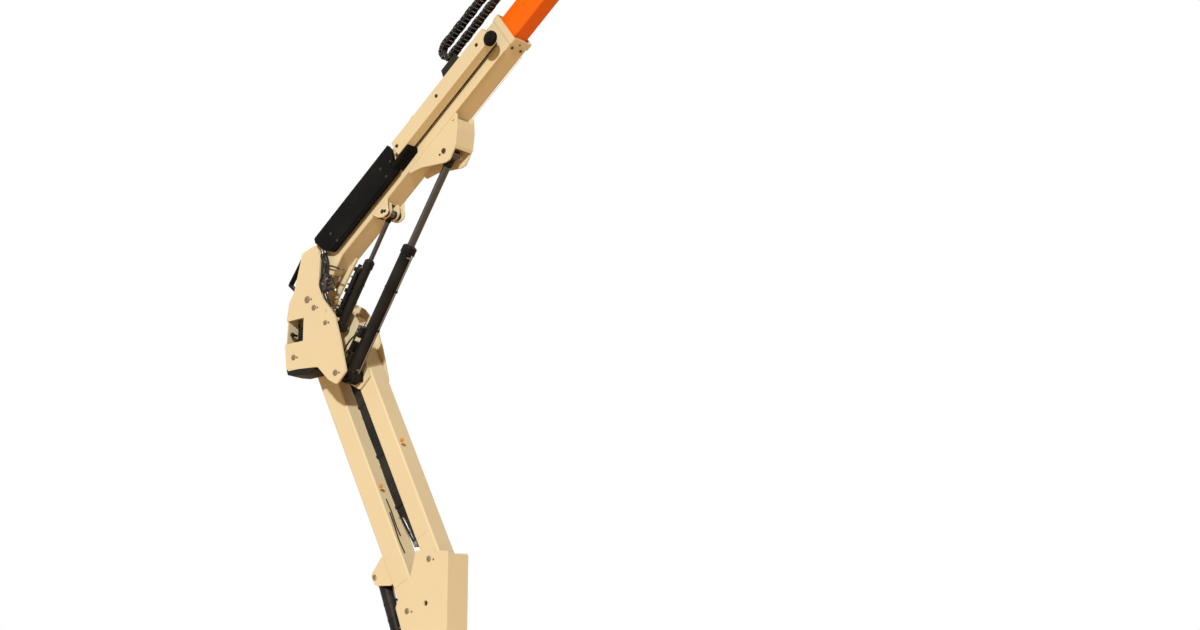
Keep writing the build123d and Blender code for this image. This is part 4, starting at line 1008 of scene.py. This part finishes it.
# %% Tyres, nuts and hubs
hubs = {
    "drive": [(62, 92), (78, 92), (84, 84), (100, 80), (106, 70), (110, 40)],
    "steer": [(62, 70), (76, 68), (86, 58), (104, 54), (110, 44)],
}
for x, axle in ((1170, "drive"), (-1170, "steer")):
    for sign, side_name, out in SIDES:
        middle = sign * wheel_middle
        body = f"wheel_{axle}_{side_name}"
        rubber = Shapes()
        loops = [
            [wheel_point(x, middle + distance, degrees, radius) for degrees in range(0, 360, 5)]
            for distance, radius in tyre_profile
        ]
        rubber.rings(loops, closed=True)
        for degrees in range(0, 360, 18):
            add_lug(rubber, x, middle, 1, degrees)
            add_lug(rubber, x, middle, -1, degrees + 9)
        for degrees in range(0, 360, 9):
            sunk = wheel_patch(x, middle + sign * 150, degrees, 1.2, 300, 322)
            raised = wheel_patch(x, middle + sign * 151.8, degrees, 1.2, 300, 320)
            rubber.rings((sunk, raised))
        rubber.piece(f"tyre_{axle}_{side_name}_tread", tyre_rubber, body, replaces=[f"tyre_{axle}_{side_name}"])
        steel = Shapes()
        for degrees in range(0, 360, 40):
            spot = wheel_point(x, middle - sign * 26, degrees, 165)
            steel.turned(spot, out, [(-2, 20), (5, 20), (6, 15)], 16)
            steel.turned(spot, out, [(4, 15), (20, 15), (24, 11)], 6)
            steel.turned(spot, out, [(20, 7), (34, 7)], 8)
        steel.piece(f"nuts_{axle}_{side_name}", bright_steel, body)
        cover = Shapes()
        cover.turned((x, middle, wheel_height), out, hubs[axle], 32)
        for degrees in range(0, 360, 45):
            cover.bolt(wheel_point(x, middle + sign * 78, degrees, hubs[axle][0][1] - 10), out, 7)
        valve = wheel_point(x, middle + sign * 40, 64, 214)
        cover.turned(valve, out, [(-40, 5), (20, 5), (22, 6), (30, 6)], 8)
        cover.piece(f"hub_{axle}_{side_name}", black_paint, body)
print("lugs on each tyre", 40)

# %% [markdown]
# ## Chassis and axles
#
# The chassis has bolted covers at both ends and on its sides, beads of weld at its ends and its corners, and
# hoses to both axles. The bearing that carries the turntable is held by a ring of bolts.

# %% Chassis parts
plates = Shapes()
bolts = Shapes()
welds = Shapes()
for end in (-1, 1):
    x = end * 1390
    plates.box((x, -150, 506), (x + end * 7, 150, 634))
    for y in (-130, -45, 45, 130):
        for z in (520, 620):
            bolts.bolt((x + end * 7, y, z), (end, 0, 0), 9)
    for y in (-240, 240):
        for z in (575, 545):
            welds.bead((x + end * 2, y - 52, z), (x + end * 2, y + 52, z))
for side, _, out in SIDES:
    for x in (-900, 900):
        plates.plate(rounded(x, 590, 150, 70, 24), side * 330, side * 338)
        for step_x in (-128, 0, 128):
            for z in (540, 640):
                bolts.bolt((x + step_x, side * 338, z), out, 8)
    plates.plate(rounded(0, 560, 230, 90, 26), side * 560, side * 568)
    for x in (-200, -70, 70, 200):
        for z in (490, 630):
            bolts.bolt((x, side * 568, z), out, 9)
    for end in (-1, 1):
        welds.bead((end * 556, side * 333, 425), (end * 424, side * 333, 698))
for step in range(24):
    turn = math.tau * step / 24
    bolts.bolt((378 * math.cos(turn), 378 * math.sin(turn), 760), UP, 9)
plates.piece("chassis_covers", grey_paint, "chassis", 3)
bolts.piece("chassis_bolts", bright_steel, "chassis")
welds.piece("chassis_welds", grey_paint, "chassis")

hoses = Hoses()
for side, _, out in SIDES:
    run = [(-1290, side * 215, 452), (-1270, side * 200, 500), (-1190, side * 150, 498), (-1150, side * 90, 480)]
    hoses.add(run, 9)
    run = [(1060, side * 300, 480), (1100, side * 360, 500), (1150, side * 440, 492), (1170, side * 520, 478)]
    hoses.add(run, 9)
    for spot in (-1, 1):
        hoses.steel.turned((-1300, side * 236, 412), out, [(0, 41), (12, 41), (16, 30)], 20)
        hoses.steel.bolt((1170 + spot * 70, side * 560, 478), UP, 10)
        hoses.steel.bolt((-1170 + spot * 60, side * 500, 470), UP, 10)
hoses.pieces("axle_hoses", "axle_fittings", "chassis")
print("chassis covers", 8)

# %% [markdown]
# ## Turntable, hoods and console
#
# The hoods have louvres for the engine's air, pressed ribs, latches with a paddle and a rubber seal along the
# lower edge. The counterweight has lifting eyes and reflectors. The ground console faces forwards, with a red
# stop button, a key, two rows of toggles and a blank plate.

# %% Hoods
for side, side_name, out in SIDES:
    body = f"hood_{side_name}"
    louvres = Shapes()
    for x in (-760, -250):
        louvres.plate(rounded(x, 1120, 170, 110, 20), side * 1078, side * 1082)
        for z in range(1040, 1201, 20):
            fin = ((1080, z), (1080, z + 12), (1094, z))
            louvres.rings([[(x + end, side * y, height) for y, height in fin] for end in (-150, 150)])
    louvres.piece(f"louvres_{side_name}", black_plastic, body)
    ribs = Shapes()
    for y in (420, 560, 700, 840):
        ribs.box((-1040, side * (y - 14), 1478), (520, side * (y + 14), 1485))
    for x in (40, 220, 400):
        ribs.plate(rounded(x, 1110, 60, 150, 24), side * 1078, side * 1085)
    ribs.piece(f"hood_ribs_{side_name}", orange_paint, body, 4)
    latches = Shapes()
    for x in (-980, 500):
        latches.plate(rounded(x, 985, 34, 46, 10), side * 1079, side * 1088)
        latches.plate(rounded(x, 978, 20, 30, 8), side * 1086, side * 1097)
        latches.turned((x, side * 1087, 1014), out, [(0, 10), (6, 10), (7, 7)], 14)
    latches.box((-1156, side * 1074, 902), (636, side * 1082, 914))
    for x in (-1161, 634):
        latches.box((x, side * 300, 903), (x + 7, side * 1060, 914))
    latches.piece(f"latches_{side_name}", black_plastic, body, 2)
print("louvres", 36)

# %% Counterweight, beacon and deck
def weight_face(y):
    """Where the counterweight's round rear face stands at this y."""
    return -1560 + 230 * (y / 1060) ** 2


shapes = Shapes()
for y in (-620, 620):
    ring = [(-1360, y, 1456)]
    for degrees in range(180, -1, -30):
        turn = math.radians(degrees)
        ring.append((-1360 + 44 * math.cos(turn), y, 1500 + 44 * math.sin(turn)))
    ring.append((-1316, y, 1456))
    shapes.tube(ring, 10, 10, 3)
for y in (-850, -300, 300, 850):
    shapes.turned((weight_face(y) + 8, y, 1180), (-1, 0, 0), [(-10, 34), (4, 34), (6, 24), (14, 22)], 6)
shapes.piece("counterweight_eyes", dark_steel, "turntable")
shapes = Shapes()
for y in (-960, 960):
    x = weight_face(y)
    shapes.box((x - 4, y - 46, 1010), (x + 30, y + 46, 1050))
shapes.piece("reflectors", red_plastic, "turntable", 3)

base = Shapes()
base.turned((-1250, 0, 1456), UP, [(0, 62), (10, 62), (14, 50), (26, 50)], 28)
base.piece("beacon_base", black_plastic, "turntable")
lens = Shapes()
lens.turned((-1250, 0, 1478), UP, [(0, 46), (10, 48), (50, 44), (66, 36), (74, 18)], 28)
lens.piece("beacon_lens", amber_lens, "turntable")

add_tread("deck_tread", "turntable", (-300, -132, 901), (22, 7), (44, 44), (14, 3.5, -2), (11, 1.5, 2))
steel = Shapes()
for sign, _, out in SIDES:
    for x in (-560, -440):
        steel.bolt((x, sign * 180, 900), UP, 12)
    steel.cap((-791, sign * 236, 1126.4), out, 27, 8)
    steel.cap((-631, sign * 236, 966.4), out, 27, 8)
    for x in (-1120, -700, -300, 100, 560):
        steel.bolt((x, sign * 240, 1380), (0, -sign, 0), 8)
steel.piece("tower_base_caps", pin_steel, "turntable")
print("counterweight's rear face at", weight_face(0))

# %% Engine and tank under the hoods
engine = Shapes()
engine.box((-800, 420, 1396), (-260, 560, 1440))
engine.box((-800, 640, 1396), (-300, 760, 1424))
for x in range(-840, -245, 66):
    engine.box((x, 856, 960), (x + 30, 872, 1340))
for y, z, radius in ((600, 1180, 130), (470, 1330, 60), (760, 1330, 54)):
    pulley = [(0, radius * 0.4), (6, radius), (14, radius), (20, radius * 0.8), (26, radius), (34, radius)]
    engine.turned((-162, y, z), ALONG, pulley, 28)
engine.turned((-1080, 620, 1240), ALONG, [(0, 60), (10, 92), (200, 92), (212, 70), (225, 40)], 28)
engine.piece("engine_parts", dark_steel, "turntable", 3)
tank = Shapes()
tank.plate(rounded(-560, 1120, 320, 218, 40), -940, -420)
tank.turned((-700, -700, 1334), UP, [(0, 50), (30, 50), (34, 40), (44, 40)], 24)
tank.turned((-420, -600, 1334), UP, [(0, 60), (8, 60), (10, 44), (60, 44), (66, 34)], 24)
tank.box((-40, -840, 902), (260, -480, 1120))
tank.box((-30, -830, 1118), (250, -490, 1134))
tank.piece("tank_and_batteries", black_paint, "turntable", 6)
hoses = Hoses()
hoses.steel.box((330, -760, 930), (470, -500, 1090))
for step in range(5):
    y = -730 + step * 50
    hoses.steel.turned((400, y, 1088), UP, [(0, 17), (24, 17), (26, 13), (60, 13), (64, 9)], 14)
    run = [(330, y, 1010), (300, -725 + step * 48, 1040), (285, -640 + step * 30, 1180)]
    hoses.add([*run, (180, -560 + step * 22, 1200)], 10)
hoses.steel.piece("valve_bank", bright_steel, "turntable", 2)
hoses.rubber.piece("valve_hoses", hose_rubber, "turntable")
print("valves", 5)

# %% Ground console
panel = Shapes()
panel.box((738, -850, 1186), (744, -590, 1236))
panel.plate([(690, 1004), (696, 1002), (744, 1176), (740, 1180)], -850, -590)
panel.piece("console_panel", blank_plate, "turntable", 1)
red = Shapes()
red.turned((742, -630, 1212), ALONG, [(0, 10), (10, 10), (11, 21), (19, 21), (24, 15)], 20)
red.piece("console_stop", red_plastic, "turntable")
knobs = Shapes()
slant = Vector((174, 0, -48)).normalized()
for y in range(-820, -619, 40):
    knobs.turned((716, y, 1092), slant, [(-4, 9), (5, 9), (6, 3.5), (20, 3.5), (22, 5), (32, 5)], 12)
    knobs.turned((704, y, 1044), slant, [(-4, 7), (5, 7), (6, 3.5), (18, 4.5), (26, 4.5)], 12)
knobs.turned((742, -700, 1212), ALONG, [(0, 16), (6, 16), (7, 11), (12, 11)], 18)
knobs.box((750, -702, 1203), (762, -698, 1221))
knobs.turned((742, -780, 1212), ALONG, [(0, 20), (4, 20), (5, 17)], 24)
knobs.piece("console_knobs", black_plastic, "turntable")
print("console toggles", 12)
# %% [markdown]
# ## Lower riser
#
# Hoses from the turntable climb the lower riser's rear face in a clamped bundle, and its end plates are welded
# on.

# %% Lower riser hoses and welds
hoses = Hoses(lower_beam)
clamps = Shapes(lower_beam)
for index, y in enumerate((-60, -36, -12, 12, 36, 60)):
    run = [(300, y, 124)]
    for along in (480, 700, 920, 1140):
        run.append((along, y + (index % 3 - 1) * 3, 122 + (along // 220 + index) % 2 * 4))
    run.append((1280, y, 124))
    hoses.add(run, 10)
hoses.pieces("lower_hoses", "lower_hose_ends", "lower_riser")
for along in (400, 800, 1180):
    clamps.box((along, -76, 100), (along + 34, 76, 140))
    for y in (-48, 0, 48):
        clamps.bolt((along + 17, y, 139), UP, 7)
clamps.piece("lower_clamps", black_plastic, "lower_riser", 2)
beads = Shapes(lower_beam)
for y in (-142, 142):
    for along in (300, 2480):
        beads.bead((along, y, -70), (along, y, 70))
beads.piece("lower_riser_welds", cream_paint, "lower_riser")
print("lower hoses", 6)

# %% [markdown]
# ## Jib
#
# The jib's hoses run under clips along the top of the jib arm. Every pin has a cap on both sides. The rotator
# at the jib's head is a turning actuator with bolted end covers and two ports.

# %% Jib pins and hoses
caps = Shapes()
for side, _, out in SIDES:
    face = boom_y + side * 106
    caps.cap((3311.8, face, 10331.9), out, 28, 8)
    caps.cap((3611.8, face, 10371.9), out, 22, 6)
    caps.cap((3657.8, boom_y + side * 104, 10156.9), out, 18, 6)
    caps.bolt((3366, boom_y + side * 84, 10342), out, 7)
caps.piece("jib_base_caps", pin_steel, "jib_base")
caps = Shapes()
for side, _, out in SIDES:
    caps.cap((4809.6, boom_y + side * 104, 10692.8), out, 22, 6)
    caps.cap((4855.6, boom_y + side * 104, 10477.8), out, 18, 6)
caps.piece("jib_head_caps", pin_steel, "jib_head")

hoses = Hoses(jib)
clips = Shapes(jib)
for index, y in enumerate((-286, -268, -250, -232, -214)):
    run = [(130, y, 66), (260, y, 70), (480, y, 66 + index % 2 * 3), (700, y, 68), (920, y, 66), (1080, y, 66)]
    hoses.add(run, 8)
hoses.pieces("jib_hoses", "jib_hose_ends", "jib_arm")
for along in (200, 460, 720, 1000):
    clips.box((along, -297, 44), (along + 26, -203, 82))
    clips.bolt((along + 13, -250, 81), UP, 6)
clips.piece("jib_clips", black_plastic, "jib_arm", 2)

covers = Shapes()
for z, way in ((10781, 1), (10391, -1)):
    covers.turned((5049.6, boom_y, z), (0, 0, way), [(-2, 70), (6, 70), (10, 62), (14, 30)], 28)
    for spot in circle(Vector((5049.6, boom_y, z + way * 6)), Vector(ALONG), Vector(FAR), 56, 8):
        covers.bolt(spot, (0, 0, way), 6)
covers.piece("rotator_covers", black_paint, "platform")
hoses = Hoses()
for z in (10560, 10620):
    hoses.steel.turned((4990, -330, z), NEAR, [(0, 11), (14, 11)], 6)
    run = [(4990, -344, z), (4960, -366, z + 30), (4900, -350, z + 60), (4850, -310, z + 66)]
    hoses.add(run, 8)
hoses.pieces("rotator_hoses", "rotator_fittings", "jib_head")
print("jib hoses", 5)

# %% Bolts and welds on the boom
shapes = Shapes(boom)
for side, _, out in SIDES:
    face = boom_y + side * 90
    for along, across in ((4700, 200), (4700, 380), (4560, 290)):
        shapes.turned((along, face, across), out, [(-2, 16), (4, 16), (5, 12), (10, 12)], 16)
    for along in (1960, 2010):
        for across in (200, 380):
            shapes.bolt((along, face, across), out, 9)
shapes.piece("fly_bolts", dark_steel, "fly_boom")
shapes = Shapes(boom)
for along, across in ((3300, 140), (3300, 430), (3350, 290), (340, 240), (340, 400)):
    shapes.bolt((along, -120, across), FAR, 10)
shapes.plate(rounded(1900, 290, 260, 70, 16), -120, -115)
shapes.piece("boom_side_bolts", dark_steel, "boom_base")
beads = Shapes(boom)
for y in (-362, -118):
    beads.bead((1700, y, 99), (3240, y, 99), 4, 12)
beads.piece("boom_welds", cream_paint, "boom_base")
print("bolts on the fly boom", 14)

# %% [markdown]
# ## Platform
#
# The floor has raised tread, and a gate swings on its own post. The control box hangs on the front rail: two
# joysticks with rubber boots, a red stop button, toggles with a guard bar over them, and a foot switch below.
# Four rings on the rails take lanyards, and a box holds the handbook.

# %% Platform floor and rails
floor_z = 10262.8
start = (5374, -1130, floor_z)
add_tread("platform_tread", "platform", start, (13, 32), (58, 57.5), (18, 4, -2), (14, 1.5, 3))

rails = Shapes()
rail_ends = (5349.6, 6109.6)
for x in rail_ends:
    for y in (-900, 420):
        turns = [math.radians(degrees) for degrees in range(0, 361, 40)]
        ring = [(x, y + 30 * math.cos(turn), floor_z + 565 + 34 * math.sin(turn)) for turn in turns]
        rails.tube(ring, 6, 8, 2)
for x in rail_ends:
    for y in (-1155, -540, 60, 675):
        for z in (605, 1100):
            rails.turned((x, y, floor_z + z - 24), UP, [(0, 21.5), (48, 21.5)], 16)
for y in (-1155, 675):
    for x in rail_ends:
        rails.box((x - 25, y - 25, floor_z - 2), (x + 25, y + 25, floor_z + 8))
rails.piece("platform_collars", grey_paint, "platform")
steel = Shapes()
for y in (-460, -320, -160, -20):
    for z in (10400, 10700):
        steel.bolt((5299, y, z), (-1, 0, 0), 10)
for y in (-1060, -500, 60, 600):
    for x in (5323.6, 6129.6):
        steel.bolt((x, y, floor_z + 75), (-1, 0, 0), 7)
steel.piece("platform_bolts", bright_steel, "platform")

latch = Shapes()
latch.box((5900, 684, floor_z + 990), (5940, 704, floor_z + 1040))
latch.turned((5860, 690, floor_z + 1015), ALONG, [(0, 8), (60, 8), (62, 6), (84, 6)], 12)
latch.turned((5868, 698, floor_z + 1015), FAR, [(0, 5), (2, 5)], 10)
latch.piece("gate_latch", bright_steel, "platform_gate")
print("platform floor at", floor_z)

# %% Platform controls
deck = Shapes()
top = floor_z + 1062
low = [(5945, -486, top - 4), (6080, -486, top - 4), (6080, 6, top - 4), (5945, 6, top - 4)]
high = [(5955, -478, top + 8), (6074, -478, top + 16), (6074, -2, top + 16), (5955, -2, top + 8)]
deck.rings((low, high))
deck.piece("control_panel", blank_plate, "platform", 1)
sticks = Shapes()
boot = [(0, 30), (3, 29), (6, 22), (9, 24), (12, 17), (15, 19)]
boot += [(18, 10), (22, 6), (32, 6), (35, 13), (47, 15), (52, 10)]
for y in (-400, -80):
    sticks.turned((6010, y, top + 8), UP, boot, 20)
for y in range(-330, -149, 30):
    sticks.turned((5985, y, top + 8), UP, [(0, 8), (5, 8), (6, 3.5), (18, 4.5)], 10)
    sticks.turned((6035, y, top + 11), UP, [(0, 7), (5, 7), (6, 3.5), (18, 4.5)], 10)
guard = ((5940, -480, -60), (5936, -476, 14), (5940, -440, 46), (5940, -240, 50))
guard += ((5940, -40, 46), (5936, -4, 14), (5940, 0, -60))
sticks.tube([(x, y, top + z) for x, y, z in guard], 8, 8, 5)
sticks.box((5770, -300, floor_z), (5900, -160, floor_z + 16))
cheek = [(x, floor_z + z) for x, z in ((5780, 14), (5895, 14), (5895, 74), (5870, 84))]
for y in (-296, -180):
    sticks.plate(cheek, y, y + 16)
sticks.piece("joysticks", black_plastic, "platform")
pedal = Shapes()
low, high = (
    [(5790, -276, floor_z + rear), (5885, -276, floor_z + front), (5885, -184, floor_z + front),
     (5790, -184, floor_z + rear)]
    for rear, front in ((18, 18), (26, 52))
)
pedal.rings((low, high))
pedal.box((6104, -380, floor_z + 700), (6114, -300, floor_z + 780))
pedal.piece("foot_pedal", yellow_plastic, "platform", 3)
red = Shapes()
red.turned((6010, boom_y, top + 8), UP, [(0, 12), (12, 12), (13, 24), (22, 24), (28, 16)], 20)
red.piece("platform_stop", red_plastic, "platform")
case = Shapes()
case.box((6044, 160, floor_z + 660), (6098, 420, floor_z + 960))
case.box((6040, 150, floor_z + 955), (6100, 430, floor_z + 975))
for y in (200, 380):
    case.tube([(6098, y, floor_z + 900), (6112, y, floor_z + 900), (6130, y, floor_z + 890)], 7, 8, 3)
case.piece("handbook_box", black_plastic, "platform", 5)
cable = Shapes()
run = ((6090, -250, 870), (6098, -262, 700), (6096, -256, 420), (6094, -250, 120))
run += ((6060, -246, 26), (5960, -236, 12), (5890, -230, 12))
cable.tube([(x, y, floor_z + z) for x, y, z in run], 9, 10, 6)
cable.piece("platform_cables", hose_rubber, "platform")
plates = Shapes()
plates.plate([(5316, 10640), (5298, 10640), (5298, 10760), (5316, 10760)], -430, -50)
plates.piece("platform_plate", blank_plate, "platform", 1, slot="grey_paint")
